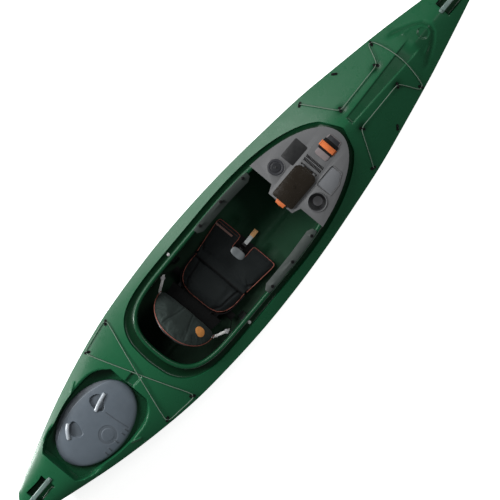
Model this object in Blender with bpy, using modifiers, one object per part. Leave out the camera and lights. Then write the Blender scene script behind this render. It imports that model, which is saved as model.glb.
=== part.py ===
# Recreational sit-inside kayak, built as an assembly of separate pieces.
# Metres. +X points to the bow, +Y to port, +Z up. The keel stands on z = 0 and x = 0 is midships.

import math

import bmesh
import bpy
import numpy as np
from mathutils import Matrix, Vector
from mathutils.bvhtree import BVHTree

for old_object in list(bpy.data.objects):
    bpy.data.objects.remove(old_object, do_unlink=True)

# Driving dimensions of the hull
hull_length = 3.71
hull_beam = 0.737
hull_wall = 0.005
seat_gap = 0.0003

# Sheer: height of the gunwale seam, lowest a little behind midships
sheer_low_x = -0.20
sheer_low_z = 0.222
sheer_rise_bow = 0.078
sheer_rise_stern = 0.055

# Keel: flat in the middle, with rocker towards both ends and a rounded stem
flat_keel_half = 1.05
rocker_bow = 0.10
rocker_stern = 0.085
rocker_power = 2.2
nose_plan_run = 0.070
nose_profile_run = 0.140
nose_profile_share = 0.55
nose_deck_drop = 0.020

# Coaming: a bead round the cockpit, planar where the console rests on it
coaming_rear_x = -0.7614
coaming_front_x = 0.7857
coaming_widest_x = -0.05
coaming_half_beam = 0.2765
coaming_front_z = 0.362
coaming_front_slope = 0.1405
coaming_low_z = 0.264
coaming_low_x = -0.15
coaming_rear_rise = 0.025
bead_width = 0.027
bead_height = 0.014
bead_round = 0.005
lip_overhang = 0.012
flange_depth = 0.035

# Gutter round the coaming
gutter_rear_x = -0.8154
gutter_front_x = 0.8208
gutter_half_beam = 0.308
gutter_depth = 0.014
gutter_wall_run = 0.009

# Hatch well, hatch opening and lid
well_rear_x = -1.555
well_front_x = -0.972
well_floor_z = 0.200
well_wall_run = 0.011
hatch_x = -1.2528
lid_length = 0.529
lid_beam = 0.367
lid_dome = 0.020
lid_edge_thick = 0.009
lid_skirt_depth = 0.016
collar_share = 0.90
collar_wall = 0.006
collar_height = 0.016
gasket_thick = 0.003

# Deck groove on the bow and the two handle scoops
groove_rear_x = 0.864
groove_front_x = 1.42
groove_half_rear = 0.028
groove_half_front = 0.046
groove_depth = 0.009
scoop_inner_x = 1.647
scoop_outer_x = 1.775
scoop_half = 0.050
scoop_depth = 0.030
scoop_wall_run = 0.010

# Grips at both ends
grip_length = 0.168
grip_width = 0.027
grip_height = 0.016
grip_bolt_spacing = 0.148
bolt_head_radius = 0.0065
bolt_head_height = 0.004

# Shock cords and their anchors
cord_radius = 0.0026
cord_deck_gap = 0.0010
anchor_length = 0.036
anchor_width = 0.014
anchor_base = 0.003
eye_wire_radius = 0.0024
eye_inner_half = 0.0068
eye_inner_height = 0.0080
cord_crossing_lift = 0.0075

# Thigh braces
brace_rear_x = -0.113
brace_front_x = 0.308
brace_plate = 0.004
brace_overhang = 0.030

# Seat track, base and cushions
track_rear_x = -0.53
track_front_x = 0.03
track_half_gauge = 0.130
track_stem_width = 0.008
track_stem_height = 0.010
track_head_width = 0.022
track_head_height = 0.006
runner_clearance = 0.0006
runner_wall = 0.005
seat_rear_x = -0.405
seat_split_x = -0.200
seat_front_x = 0.038
seat_rear_half = 0.108
seat_mid_half = 0.184
seat_front_half = 0.208
seat_pan_z = 0.040
seat_pan_wall = 0.005
seat_pan_height = 0.034
cushion_thick = 0.034
notch_half = 0.042
notch_rear_x = -0.050

# Backrest, leaning back from its lower edge
backrest_hinge_x = -0.462
backrest_hinge_z = 0.085
backrest_lean = math.radians(35)
backrest_height = 0.300
backrest_half = 0.189
backrest_shell_thick = 0.006
backrest_pad_thick = 0.030
strap_thick = 0.0022
strap_width = 0.022

# Console on the coaming
console_rear_x = 0.3456
console_tongue_x = 0.297
console_tongue_half = 0.082
console_plate = 0.005
console_overhang = 0.002
console_lip_half = 0.185
console_lip_drop = 0.022
cup_x = 0.429
cup_y = -0.148
cup_radius = 0.052
cup_depth = 0.075
cup_rim = 0.0035
insert_y = 0.1425
insert_radius = 0.045
insert_depth = 0.010
tub_wall = 0.003
tray_corners = [(0.497, -0.081), (0.497, -0.178), (0.572, -0.176), (0.628, -0.146), (0.628, -0.081)]
tray_rim = 0.003
dry_box_rear_x = 0.308
dry_box_front_x = 0.524
dry_box_half = 0.069
dry_box_depth = 0.085
dry_box_rim = 0.006
dry_box_ledge = 0.010
dry_lid_thick = 0.006
hinge_barrel = 0.0045
hinge_pin_radius = 0.0018
hinge_half = 0.030
gear_base_ends = (0.621, 0.751)
gear_base_sides = (0.038, -0.043)
gear_base_thick = 0.004
gear_strap_x = 0.686
gear_strap_width = 0.032

# Foot braces on the inner sides
foot_rail_x = 0.590
foot_rail_z = 0.120
foot_rail_length = 0.400
foot_rail_depth = 0.020
foot_rail_thick = 0.010
foot_rail_standoff = 0.013
pedal_width = 0.078
pedal_height = 0.100
pedal_thick = 0.010

# Foam bulkhead behind the cockpit
bulkhead_rear_x = -0.895
bulkhead_front_x = -0.845
bulkhead_gap = 0.0010

parts = bpy.data.collections.new("recreational_kayak")
cutters = bpy.data.collections.new("cutters")
bpy.context.scene.collection.children.link(parts)
bpy.context.scene.collection.children.link(cutters)


# Materials
def make_material(name, colour, roughness, metallic=0.0):
    material = bpy.data.materials.new(name)
    material.use_nodes = True
    shader = material.node_tree.nodes["Principled BSDF"]
    shader.inputs["Base Color"].default_value = (*colour, 1.0)
    shader.inputs["Roughness"].default_value = roughness
    shader.inputs["Metallic"].default_value = metallic
    return material


green_shell = make_material("green_shell", (0.020, 0.105, 0.045), 0.28)
black_plastic = make_material("black_plastic", (0.020, 0.021, 0.022), 0.45)
slate_plastic = make_material("slate_plastic", (0.105, 0.120, 0.135), 0.42)
grey_plastic = make_material("grey_plastic", (0.110, 0.105, 0.110), 0.50)
pale_grey_plastic = make_material("pale_grey_plastic", (0.230, 0.245, 0.255), 0.45)
smoked_plastic = make_material("smoked_plastic", (0.022, 0.017, 0.013), 0.22)
orange_plastic = make_material("orange_plastic", (0.620, 0.170, 0.035), 0.40)
orange_webbing = make_material("orange_webbing", (0.640, 0.190, 0.050), 0.80)
black_fabric = make_material("black_fabric", (0.022, 0.025, 0.026), 0.85)
grey_webbing = make_material("grey_webbing", (0.300, 0.310, 0.300), 0.80)
black_cord = make_material("black_cord", (0.015, 0.016, 0.016), 0.70)
grey_foam = make_material("grey_foam", (0.060, 0.062, 0.064), 0.90)
black_rubber = make_material("black_rubber", (0.012, 0.012, 0.012), 0.75)
steel = make_material("steel", (0.560, 0.570, 0.580), 0.30, 1.0)
anodised_rail = make_material("anodised_rail", (0.090, 0.092, 0.095), 0.40, 0.9)


# General modelling helpers
def finish(obj, name, material, smooth_angle=35):
    obj.name = name
    obj.data.name = name
    obj.data.materials.clear()
    obj.data.materials.append(material)
    for owner in list(obj.users_collection):
        owner.objects.unlink(obj)
    parts.objects.link(obj)
    if obj.type == "MESH":
        obj.data.shade_smooth()
        obj.data.set_sharp_from_angle(angle=math.radians(smooth_angle))
    return obj


# Put an object's origin on its joint axis without moving its shape.
def pivot_at(obj, place):
    bpy.context.view_layer.update()
    shift = obj.matrix_world.inverted() @ Vector(place)
    obj.data.transform(Matrix.Translation(-shift))
    obj.matrix_world = obj.matrix_world @ Matrix.Translation(shift)


def as_cutter(obj, name):
    obj.name = name
    obj.hide_render = True
    obj.display_type = "WIRE"
    for owner in list(obj.users_collection):
        owner.objects.unlink(obj)
    cutters.objects.link(obj)
    return obj


def new_object(name, mesh):
    obj = bpy.data.objects.new(name, mesh)
    bpy.context.scene.collection.objects.link(obj)
    return obj


def evaluated_mesh(obj):
    depsgraph = bpy.context.evaluated_depsgraph_get()
    return bpy.data.meshes.new_from_object(obj.evaluated_get(depsgraph))


# Replace an object by a plain mesh object that holds its evaluated shape, with loose caps welded.
def to_mesh(obj):
    bpy.context.view_layer.update()
    mesh = evaluated_mesh(obj)
    work = bmesh.new()
    work.from_mesh(mesh)
    bmesh.ops.remove_doubles(work, verts=work.verts, dist=0.00002)
    work.to_mesh(mesh)
    work.free()
    result = new_object(obj.name, mesh)
    result.matrix_world = obj.matrix_world.copy()
    bpy.data.objects.remove(obj, do_unlink=True)
    return result


def boolean(obj, tool, operation):
    modifier = obj.modifiers.new(operation.lower(), "BOOLEAN")
    modifier.object = tool
    modifier.operation = operation
    modifier.solver = "EXACT"
    as_cutter(tool, tool.name + "_tool")


def bevel(obj, width, segments=2, angle=40):
    modifier = obj.modifiers.new("bevel", "BEVEL")
    modifier.width = width
    modifier.segments = segments
    modifier.limit_method = "ANGLE"
    modifier.angle_limit = math.radians(angle)


def box(name, size, location=(0, 0, 0)):
    mesh = bpy.data.meshes.new(name)
    work = bmesh.new()
    bmesh.ops.create_cube(work, size=1.0)
    bmesh.ops.scale(work, vec=size, verts=work.verts)
    work.to_mesh(mesh)
    work.free()
    obj = new_object(name, mesh)
    obj.location = location
    return obj


def cylinder(name, radius, depth, location=(0, 0, 0), sides=16, top_radius=None):
    mesh = bpy.data.meshes.new(name)
    work = bmesh.new()
    top = radius if top_radius is None else top_radius
    bmesh.ops.create_cone(
        work, cap_ends=True, segments=sides, radius1=radius, radius2=top, depth=depth
    )
    work.to_mesh(mesh)
    work.free()
    obj = new_object(name, mesh)
    obj.location = location
    return obj


# A turned piece about its own Z. The profile runs down its outer side, from the axis to the axis.
def turned(name, profile, location=(0, 0, 0), steps=24):
    mesh = bpy.data.meshes.new(name)
    corners = [(radius, 0.0, height) for radius, height in profile]
    mesh.from_pydata(corners, [(i, i + 1) for i in range(len(corners) - 1)], [])
    obj = new_object(name, mesh)
    obj.location = location
    screw = obj.modifiers.new("screw", "SCREW")
    screw.steps = steps
    screw.render_steps = steps
    screw.use_merge_vertices = True
    screw.merge_threshold = 0.00002
    return to_mesh(obj)


# A flat outline in the XY plane, made thick about its own plane.
def plate(name, outline, thickness, location=(0, 0, 0)):
    curve = bpy.data.curves.new(name, "CURVE")
    curve.dimensions = "2D"
    curve.fill_mode = "BOTH"
    curve.extrude = thickness / 2
    spline = curve.splines.new("POLY")
    spline.points.add(len(outline) - 1)
    for point, corner in zip(spline.points, outline):
        point.co = (corner[0], corner[1], 0.0, 1.0)
    spline.use_cyclic_u = True
    obj = new_object(name, curve)
    obj.location = location
    return to_mesh(obj)


def tube(name, points, radius, sides_level=2, cyclic=False):
    curve = bpy.data.curves.new(name, "CURVE")
    curve.dimensions = "3D"
    curve.bevel_depth = radius
    curve.bevel_resolution = sides_level
    curve.use_fill_caps = not cyclic
    spline = curve.splines.new("POLY")
    spline.points.add(len(points) - 1)
    for point, place in zip(spline.points, points):
        point.co = (*place, 1.0)
    spline.use_cyclic_u = cyclic
    return new_object(name, curve)


# Faces over a rows-by-columns table of points. The first two columns run outward and up.
def grid_faces(rows, columns, start=0, flip=False):
    faces = []
    for i in range(rows - 1):
        for j in range(columns - 1):
            a = start + i * columns + j
            face = (a, a + 1, a + columns + 1, a + columns)
            faces.append(face[::-1] if flip else face)
    return faces


# A closed loft: each row is a closed ring of points, and the first and last rows are capped.
def loft(name, rings):
    rings = np.asarray(rings, dtype=float)
    rows, columns, _ = rings.shape
    faces = []
    for i in range(rows - 1):
        for j in range(columns):
            k = (j + 1) % columns
            faces.append((i * columns + j, i * columns + k, (i + 1) * columns + k, (i + 1) * columns + j))
    faces.append(tuple(range(columns))[::-1])
    faces.append(tuple((rows - 1) * columns + j for j in range(columns)))
    mesh = bpy.data.meshes.new(name)
    mesh.from_pydata(rings.reshape(-1, 3).tolist(), [], faces)
    work = bmesh.new()
    work.from_mesh(mesh)
    bmesh.ops.remove_doubles(work, verts=work.verts, dist=0.000001)
    bmesh.ops.recalc_face_normals(work, faces=work.faces)
    work.to_mesh(mesh)
    work.free()
    return new_object(name, mesh)


def rounded_rectangle(length, width, radius, steps=4):
    corners = []
    for quarter, (sx, sy) in enumerate([(1, 1), (-1, 1), (-1, -1), (1, -1)]):
        for k in range(steps + 1):
            angle = math.radians(90 * quarter + 90 * k / steps)
            x = sx * (length / 2 - radius) + radius * math.cos(angle)
            y = sy * (width / 2 - radius) + radius * math.sin(angle)
            corners.append((x, y))
    return corners


def ellipse(length, width, steps=40):
    turns = [2 * math.pi * k / steps for k in range(steps)]
    return [(length / 2 * math.cos(t), width / 2 * math.sin(t)) for t in turns]


# Hull form
# Half-breadth of the gunwale, as shares of the half beam at shares of the half length.
fullness_stations = np.array(
    [-1.0, -0.873, -0.728, -0.582, -0.437, -0.291, -0.146, 0.0, 0.146, 0.291, 0.437, 0.582, 0.728, 0.873, 1.0]
)
fullness = np.array(
    [0.176, 0.388, 0.610, 0.784, 0.910, 0.973, 1.001, 0.988, 0.943, 0.868, 0.776, 0.643, 0.497, 0.327, 0.174]
)
# Crown of the deck over the gunwale, and how peaked (low) or flat-topped (high) it is.
crown_stations = np.array([-1.855, -1.60, -1.25, -0.85, -0.50, -0.10, 0.30, 0.70, 0.90, 1.20, 1.60, 1.855])
crown_heights = np.array([0.012, 0.034, 0.045, 0.052, 0.072, 0.098, 0.115, 0.122, 0.110, 0.086, 0.045, 0.012])
crown_powers = np.array([2.6, 2.9, 3.0, 2.1, 1.7, 1.6, 1.5, 1.4, 1.32, 1.25, 1.3, 1.5])
# Half section below the gunwale: share of the half-breadth, share of the depth.
mid_section = np.array(
    [
        (0, 0), (0.10, 0), (0.185, 0.055), (0.27, 0), (0.46, 0.0), (0.66, 0.085), (0.86, 0.31), (0.957, 0.62),
        (1, 1)
    ]
)
end_section = np.array(
    [
        (0, 0), (0.08, 0.02), (0.16, 0.07), (0.26, 0.13), (0.42, 0.25), (0.60, 0.41), (0.78, 0.60),
        (0.92, 0.80), (1, 1)
    ]
)


# Smooth curve through a table: cubic pieces whose slopes come from the neighbouring stations.
def faired(x, stations, values):
    x = np.clip(x, stations[0], stations[-1])
    slopes = np.gradient(values, stations)
    i = np.clip(np.searchsorted(stations, x) - 1, 0, len(stations) - 2)
    run = stations[i + 1] - stations[i]
    t = (x - stations[i]) / run
    rise = values[i + 1] - values[i]
    start = values[i] + run * slopes[i] * t * (1 - t) ** 2
    return start + rise * t * t * (3 - 2 * t) - run * slopes[i + 1] * (1 - t) * t * t


def end_distance(x):
    return hull_length / 2 - np.abs(x)


# How far a rounded end has closed in: 0 before the run, 1 at the tip.
def nose_round(x, run):
    t = np.clip(1 - end_distance(x) / run, 0, 1)
    return 1 - np.sqrt(1 - t * t)


def half_breadth(x):
    share = faired(x / (hull_length / 2), fullness_stations, fullness)
    return share * hull_beam / 2 * (1 - nose_round(x, nose_plan_run))


def sheer(x):
    ahead = x >= sheer_low_x
    reach = np.where(ahead, hull_length / 2 - sheer_low_x, hull_length / 2 + sheer_low_x)
    rise = np.where(ahead, sheer_rise_bow, sheer_rise_stern)
    return sheer_low_z + rise * ((x - sheer_low_x) / reach) ** 2


def keel(x):
    reach = np.clip(np.abs(x) - flat_keel_half, 0, None) / (hull_length / 2 - flat_keel_half)
    rise = np.where(x > 0, rocker_bow, rocker_stern) * reach**rocker_power
    return rise + (sheer(x) - rise) * nose_profile_share * nose_round(x, nose_profile_run)


# Height of the deck skin at a share u of the half-breadth.
def deck_height(x, u):
    crown = faired(x, crown_stations, crown_heights)
    power = faired(x, crown_stations, crown_powers)
    return sheer(x) + crown * (1 - np.abs(u) ** power) - nose_deck_drop * nose_round(x, nose_profile_run)


def coaming_height(x):
    front = coaming_front_z + (x - coaming_front_x) * coaming_front_slope
    tangent_x = 2 * (coaming_front_z - coaming_front_slope * coaming_front_x - coaming_low_z)
    tangent_x = -(tangent_x / coaming_front_slope + coaming_low_x)
    rise = coaming_front_slope / (2 * (tangent_x - coaming_low_x))
    middle = coaming_low_z + rise * (x - coaming_low_x) ** 2
    rear = coaming_low_z + coaming_rear_rise * ((x - coaming_low_x) / (coaming_rear_x - coaming_low_x)) ** 2
    return np.where(x > tangent_x, front, np.where(x > coaming_low_x, middle, rear))


end_crowding = 0.6


# Half an oval opening from its rear end to its front end, as points along its edge.
def oval_edge(rear_x, front_x, widest_x, half_beam, rear_powers, front_powers, count):
    turn = np.linspace(0, math.pi, 600)
    share = np.cos(turn)
    reach = np.where(share > 0, widest_x - rear_x, front_x - widest_x)
    x = widest_x - reach * share
    full = np.where(share > 0, rear_powers[0], front_powers[0])
    close = np.where(share > 0, rear_powers[1], front_powers[1])
    y = half_beam * (1 - np.abs(share) ** full) ** close
    steps = np.concatenate([[0], np.cumsum(np.hypot(np.diff(x), np.diff(y)))])
    # Steps lie closer together near the ends, where the edge turns most.
    even = np.linspace(0, 1, count)
    even = steps[-1] * (even - end_crowding * np.sin(2 * math.pi * even) / (2 * math.pi))
    return np.stack([np.interp(even, steps, x), np.interp(even, steps, y)], axis=1)


def coaming_edge(count):
    return oval_edge(
        coaming_rear_x, coaming_front_x, coaming_widest_x, coaming_half_beam, (7.0, 0.42), (2.5, 0.5), count
    )


def gutter_edge(count):
    return oval_edge(
        gutter_rear_x, gutter_front_x, coaming_widest_x, gutter_half_beam, (6.5, 0.39), (2.6, 0.5), count
    )


# Unit vectors pointing out of the cockpit, square to an edge that runs from rear to front.
def edge_normals(edge):
    along = np.gradient(edge, axis=0)
    along[0] = (0, 1)
    along[-1] = (0, -1)
    along /= np.linalg.norm(along, axis=1)[:, None]
    return np.stack([-along[:, 1], along[:, 0]], axis=1)


# Recesses moulded into the deck: rear x, front x, half width at each, wall run.
lip_stations = np.array([
    (-scoop_outer_x, scoop_half), (-scoop_inner_x, scoop_half), (well_rear_x, 0.118), (-1.512, 0.148),
    (-1.40, 0.174), (-1.28, 0.201), (-1.177, 0.207), (-1.010, 0.166), (well_front_x, 0.130), (-0.80, 0.090),
    (groove_rear_x, groove_half_rear), (groove_front_x, groove_half_front), (scoop_inner_x, scoop_half),
    (scoop_outer_x, scoop_half),
])


def lip_line(x):
    return np.interp(x, lip_stations[:, 0], lip_stations[:, 1])


facet_shares = np.array([0.0, 0.07, 0.22, 0.42, 0.62, 0.80, 0.90, 1.0])


# Shares of the half-breadth for the deck's lengthwise lines: gunwale, side deck, lip, foot, centre.
def deck_lines(x, inner):
    half = np.maximum(half_breadth(x), 0.000001)
    lip = np.minimum(lip_line(x) / half, np.interp(abs(x), (1.40, 1.60), (0.86, 0.66)))
    foot = np.maximum(lip - well_wall_run / half, lip * 0.5)
    outer = lip + (1 - lip) * np.array([1.0, 0.92, 0.70, 0.42, 0.18])
    free = np.concatenate([outer, [lip, foot, 0.0]])
    inner_share = inner / half
    facet = 1 - facet_shares * (1 - inner_share)
    blend = min(inner / 0.12, 1.0)
    return free * (1 - blend) + facet * blend


def sunk_height(x, y, u):
    z = float(deck_height(x, u))
    lip = float(lip_line(x))
    end = abs(x)
    if well_rear_x + well_wall_run <= x <= well_front_x - well_wall_run and y < lip - 0.9 * well_wall_run:
        return well_floor_z
    if groove_rear_x + groove_depth <= x <= groove_front_x - groove_depth and y < lip - 0.9 * well_wall_run:
        return z - groove_depth
    if scoop_inner_x + scoop_wall_run <= end <= scoop_outer_x - scoop_wall_run and y < lip * 0.8:
        return z - scoop_depth
    return z


def hull_stations():
    tip = hull_length / 2
    ends = [tip, tip - 0.004, tip - 0.018, tip - 0.045, scoop_outer_x, scoop_outer_x - scoop_wall_run]
    ends += [scoop_inner_x + scoop_wall_run, scoop_inner_x]
    stern = [-x for x in ends]
    stern += [well_rear_x, well_rear_x + well_wall_run, -1.512, -1.40, -1.28, -1.177, -1.09, -1.010]
    stern += [well_front_x - well_wall_run, well_front_x, bulkhead_rear_x, bulkhead_front_x]
    bow = [groove_rear_x, groove_rear_x + groove_depth, 0.98, 1.12, 1.27]
    bow += [groove_front_x - groove_depth, groove_front_x, 1.54] + ends[::-1]
    return stern, bow


cockpit_stations = 21


def hull_sheet():
    stern, bow = hull_stations()
    lip = gutter_edge(cockpit_stations)
    stations = [(x, 0.0) for x in stern] + [tuple(p) for p in lip] + [(x, 0.0) for x in bow]
    depth_blend = lambda x: np.clip((abs(x) - 0.60) / 1.10, 0, 1) ** 1.2
    rows = []
    for x, inner in stations:
        half = float(half_breadth(x))
        v = depth_blend(x)
        section = mid_section * (1 - v) + end_section * v
        low = float(keel(x))
        high = float(sheer(x)) - nose_deck_drop * float(nose_round(x, nose_profile_run))
        row = [(x, half * a, low + (high - low) * b) for a, b in section]
        for u in deck_lines(x, inner)[1:]:
            row.append((x, half * u, sunk_height(x, half * u, u)))
        rows.append(row)
    body = np.array(rows)

    bead = coaming_edge(cockpit_stations)
    normal = edge_normals(bead)
    first = len(stern)
    outer = body[first : first + cockpit_stations, -1]
    columns = [outer]
    inward = bead - outer[:, :2]
    inward /= np.linalg.norm(inward, axis=1)[:, None]
    wall_foot = outer[:, :2] + inward * gutter_wall_run
    columns.append(np.column_stack([wall_foot, outer[:, 2] - gutter_depth]))

    def ring(offset, height):
        place = bead + normal * offset
        return np.column_stack([place, height(place[:, 0])])

    floor = outer[:, 2] - gutter_depth
    columns.append(np.column_stack([bead - normal * lip_overhang, floor]))
    columns.append(ring(-lip_overhang, lambda x: coaming_height(x) - bead_height))
    columns.append(ring(-bead_round * 0.5, lambda x: coaming_height(x) - bead_height))
    columns.append(ring(0.0, lambda x: coaming_height(x) - bead_height * 0.55))
    columns.append(ring(-bead_round, coaming_height))
    columns.append(ring(-bead_width + bead_round, coaming_height))
    columns.append(ring(-bead_width, lambda x: coaming_height(x) - bead_round))
    columns.append(ring(-bead_width, lambda x: coaming_height(x) - flange_depth))
    coaming = np.stack(columns, axis=1)
    coaming[0, :, 1] = 0.0
    coaming[-1, :, 1] = 0.0
    return body, coaming


hull_body, hull_coaming = hull_sheet()


def build_hull():
    body, coaming = hull_body, hull_coaming
    rows, columns, _ = body.shape
    ring_rows, ring_columns, _ = coaming.shape
    places = np.concatenate([body.reshape(-1, 3), coaming.reshape(-1, 3)])
    faces = grid_faces(rows, columns) + grid_faces(ring_rows, ring_columns, rows * columns)
    mesh = bpy.data.meshes.new("hull_shell")
    mesh.from_pydata(places.tolist(), [], faces)
    work = bmesh.new()
    work.from_mesh(mesh)
    bmesh.ops.remove_doubles(work, verts=work.verts, dist=0.00002)
    work.to_mesh(mesh)
    work.free()
    hull = new_object("hull_shell", mesh)
    mirror = hull.modifiers.new("mirror", "MIRROR")
    mirror.use_axis = (False, True, False)
    mirror.merge_threshold = 0.00002
    solid = hull.modifiers.new("wall", "SOLIDIFY")
    solid.thickness = hull_wall
    solid.offset = -1.0
    solid.use_even_offset = True
    hull = to_mesh(hull)

    collar = plate(
        "collar",
        ellipse(lid_length * collar_share, lid_beam * collar_share),
        collar_height + hull_wall / 2,
        (hatch_x, 0, well_floor_z + (collar_height - hull_wall / 2) / 2),
    )
    boolean(hull, collar, "UNION")
    opening = plate(
        "hatch_opening",
        ellipse(lid_length * collar_share - 2 * collar_wall, lid_beam * collar_share - 2 * collar_wall),
        0.08,
        (hatch_x, 0, well_floor_z),
    )
    boolean(hull, opening, "DIFFERENCE")
    return finish(hull, "hull_shell", green_shell, 38)


hull_shell = build_hull()
bpy.context.view_layer.update()
hull_surface = BVHTree.FromObject(hull_shell, bpy.context.evaluated_depsgraph_get())


# Where a straight line through the hull first meets its skin.
def skin_hit(start, direction):
    place, normal, _, _ = hull_surface.ray_cast(Vector(start), Vector(direction))
    return place, normal


def deck_at(x, y):
    return skin_hit((x, y, 1.0), (0, 0, -1))


def floor_inside(x, y):
    return skin_hit((x, y, 0.10), (0, 0, -1))[0].z


def side_inside(x, z, side):
    return abs(skin_hit((x, 0, z), (0, side, 0))[0].y)


# A frame standing on the deck: Z square to the skin, X turned to a heading, clear of every facet under it.
def frame_on_deck(x, y, heading, footprint):
    place, up = deck_at(x, y)
    ahead = Vector((math.cos(heading), math.sin(heading), 0))
    across = up.cross(ahead).normalized()
    ahead = across.cross(up).normalized()
    basis = Matrix((ahead, across, up)).transposed()
    highest = 0.0
    for a in (-1, -0.5, 0, 0.5, 1):
        for b in (-1, 0, 1):
            corner = place + ahead * a * footprint[0] / 2 + across * b * footprint[1] / 2
            skin = deck_at(corner.x, corner.y)[0]
            highest = max(highest, (skin - corner).dot(up))
    return Matrix.Translation(place + up * (highest + seat_gap)) @ basis.to_4x4()


# Grips and their bolts
def grip_mesh():
    half = grip_length / 2
    tab = 0.0055
    stations = [
        (-half, 0.55, 0.0, tab * 0.8), (-half + 0.004, 0.85, 0.0, tab), (-half + 0.022, 1.0, 0.0, tab),
        (-half + 0.034, 0.94, 0.003, grip_height * 0.8), (-half + 0.050, 0.94, 0.005, grip_height),
        (0.0, 0.94, 0.006, grip_height + 0.002),
    ]
    stations += [(-x, w, low, high) for x, w, low, high in stations[-2::-1]]
    rings = []
    for x, width, low, high in stations:
        w = grip_width / 2 * width
        ring = []
        for y, z in [(1, 0.12), (1, 0.75), (0.7, 1), (-0.7, 1), (-1, 0.75), (-1, 0.12), (-0.9, 0), (0.9, 0)]:
            ring.append((x, y * w, low + z * (high - low)))
        rings.append(ring)
    return loft("grip", rings), tab


def bolt(name, matrix, radius, height, material, sides=12):
    profile = [(0, height), (radius * 0.6, height), (radius, height * 0.45), (radius, 0), (0, 0)]
    obj = turned(name, profile, steps=sides)
    obj.matrix_world = matrix
    return finish(obj, name, material)


def build_grip(end, name):
    middle = end * (scoop_inner_x + scoop_outer_x) / 2
    inner = deck_at(middle - grip_bolt_spacing / 2, 0)[0]
    outer = deck_at(middle + grip_bolt_spacing / 2, 0)[0]
    slope = math.atan2(outer.z - inner.z, outer.x - inner.x)
    place = (inner + outer) / 2
    turn = Matrix.Rotation(-slope, 4, "Y")
    lift = 0.0
    for x in np.linspace(-grip_length / 2, grip_length / 2, 57):
        for y in (-1, -0.5, 0, 0.5, 1):
            corner = place + (turn @ Vector((x, y * grip_width / 2, 0)))
            if abs(x) > grip_bolt_spacing / 2 - 0.016:
                lift = max(lift, deck_at(corner.x, corner.y)[0].z - corner.z)
    matrix = Matrix.Translation(place + Vector((0, 0, lift + seat_gap))) @ turn
    grip, tab = grip_mesh()
    grip.matrix_world = matrix
    finish(grip, name, pale_grey_plastic)
    for label, x in (("inner", -end * grip_bolt_spacing / 2), ("outer", end * grip_bolt_spacing / 2)):
        seat = matrix @ Matrix.Translation((x, 0, tab + seat_gap))
        bolt(f"{name}_bolt_{label}", seat, bolt_head_radius, bolt_head_height, black_plastic)


build_grip(1, "bow_handle")
build_grip(-1, "stern_handle")


# Deck anchors: a base with round ends and a wire eye whose opening runs along local Y
def anchor_mesh():
    base = plate(
        "anchor", rounded_rectangle(anchor_length, anchor_width, anchor_width * 0.49, 2), anchor_base
    )
    base.location.z = anchor_base / 2
    base = to_mesh(base)
    reach = eye_inner_half + eye_wire_radius
    top = anchor_base + eye_inner_height + eye_wire_radius
    arch = [(-reach, 0, anchor_base * 0.4)]
    for angle in np.linspace(math.pi, 0, 4):
        rise = top - anchor_base - reach * 0.7
        arch.append((reach * math.cos(angle), 0, anchor_base + reach * 0.7 * math.sin(angle) + rise))
    arch.append((reach, 0, anchor_base * 0.4))
    wire = to_mesh(tube("eye", arch, eye_wire_radius, 0))
    boolean(base, wire, "UNION")
    base.data.transform(base.matrix_world)
    base.matrix_world = Matrix.Identity(4)
    bpy.context.view_layer.update()
    mesh = evaluated_mesh(base)
    bpy.data.objects.remove(base, do_unlink=True)
    return mesh


anchor_shape = anchor_mesh()
eye_height = anchor_base + eye_inner_height * 0.5


# Smooth curve through points, several samples to each stretch.
def smooth_route(points, samples, cyclic=False):
    points = [Vector(p) for p in points]
    count = len(points)
    route = []
    stretches = count if cyclic else count - 1
    for i in range(stretches):
        before = points[(i - 1) % count] if cyclic or i > 0 else points[i]
        start = points[i]
        end = points[(i + 1) % count]
        after = points[(i + 2) % count] if cyclic or i + 2 < count else end
        run = (end - start).length
        leave = (end - before).normalized() * run
        arrive = (after - start).normalized() * run
        for k in range(samples[i % len(samples)]):
            t = k / samples[i % len(samples)]
            place = start * (1 + 2 * t) * (1 - t) ** 2 + leave * t * (1 - t) ** 2
            route.append(place + end * t * t * (3 - 2 * t) - arrive * (1 - t) * t * t)
    if not cyclic:
        route.append(points[-1])
    return route


# Lift the points of a cord until its straight pieces clear the deck.
def rest_on_deck(route, cyclic):
    line = [Vector(p) for p in route]
    clear = cord_radius / math.cos(math.radians(30)) + cord_deck_gap
    pairs = [(i, (i + 1) % len(line)) for i in range(len(line) if cyclic else len(line) - 1)]
    for _ in range(3):
        for a, b in pairs:
            for share in (0.0, 0.25, 0.5, 0.75, 1.0):
                place = line[a].lerp(line[b], share)
                short = deck_at(place.x, place.y)[0].z + clear - place.z
                if short > 0:
                    line[a].z += short
                    line[b].z += short
    return line


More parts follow.
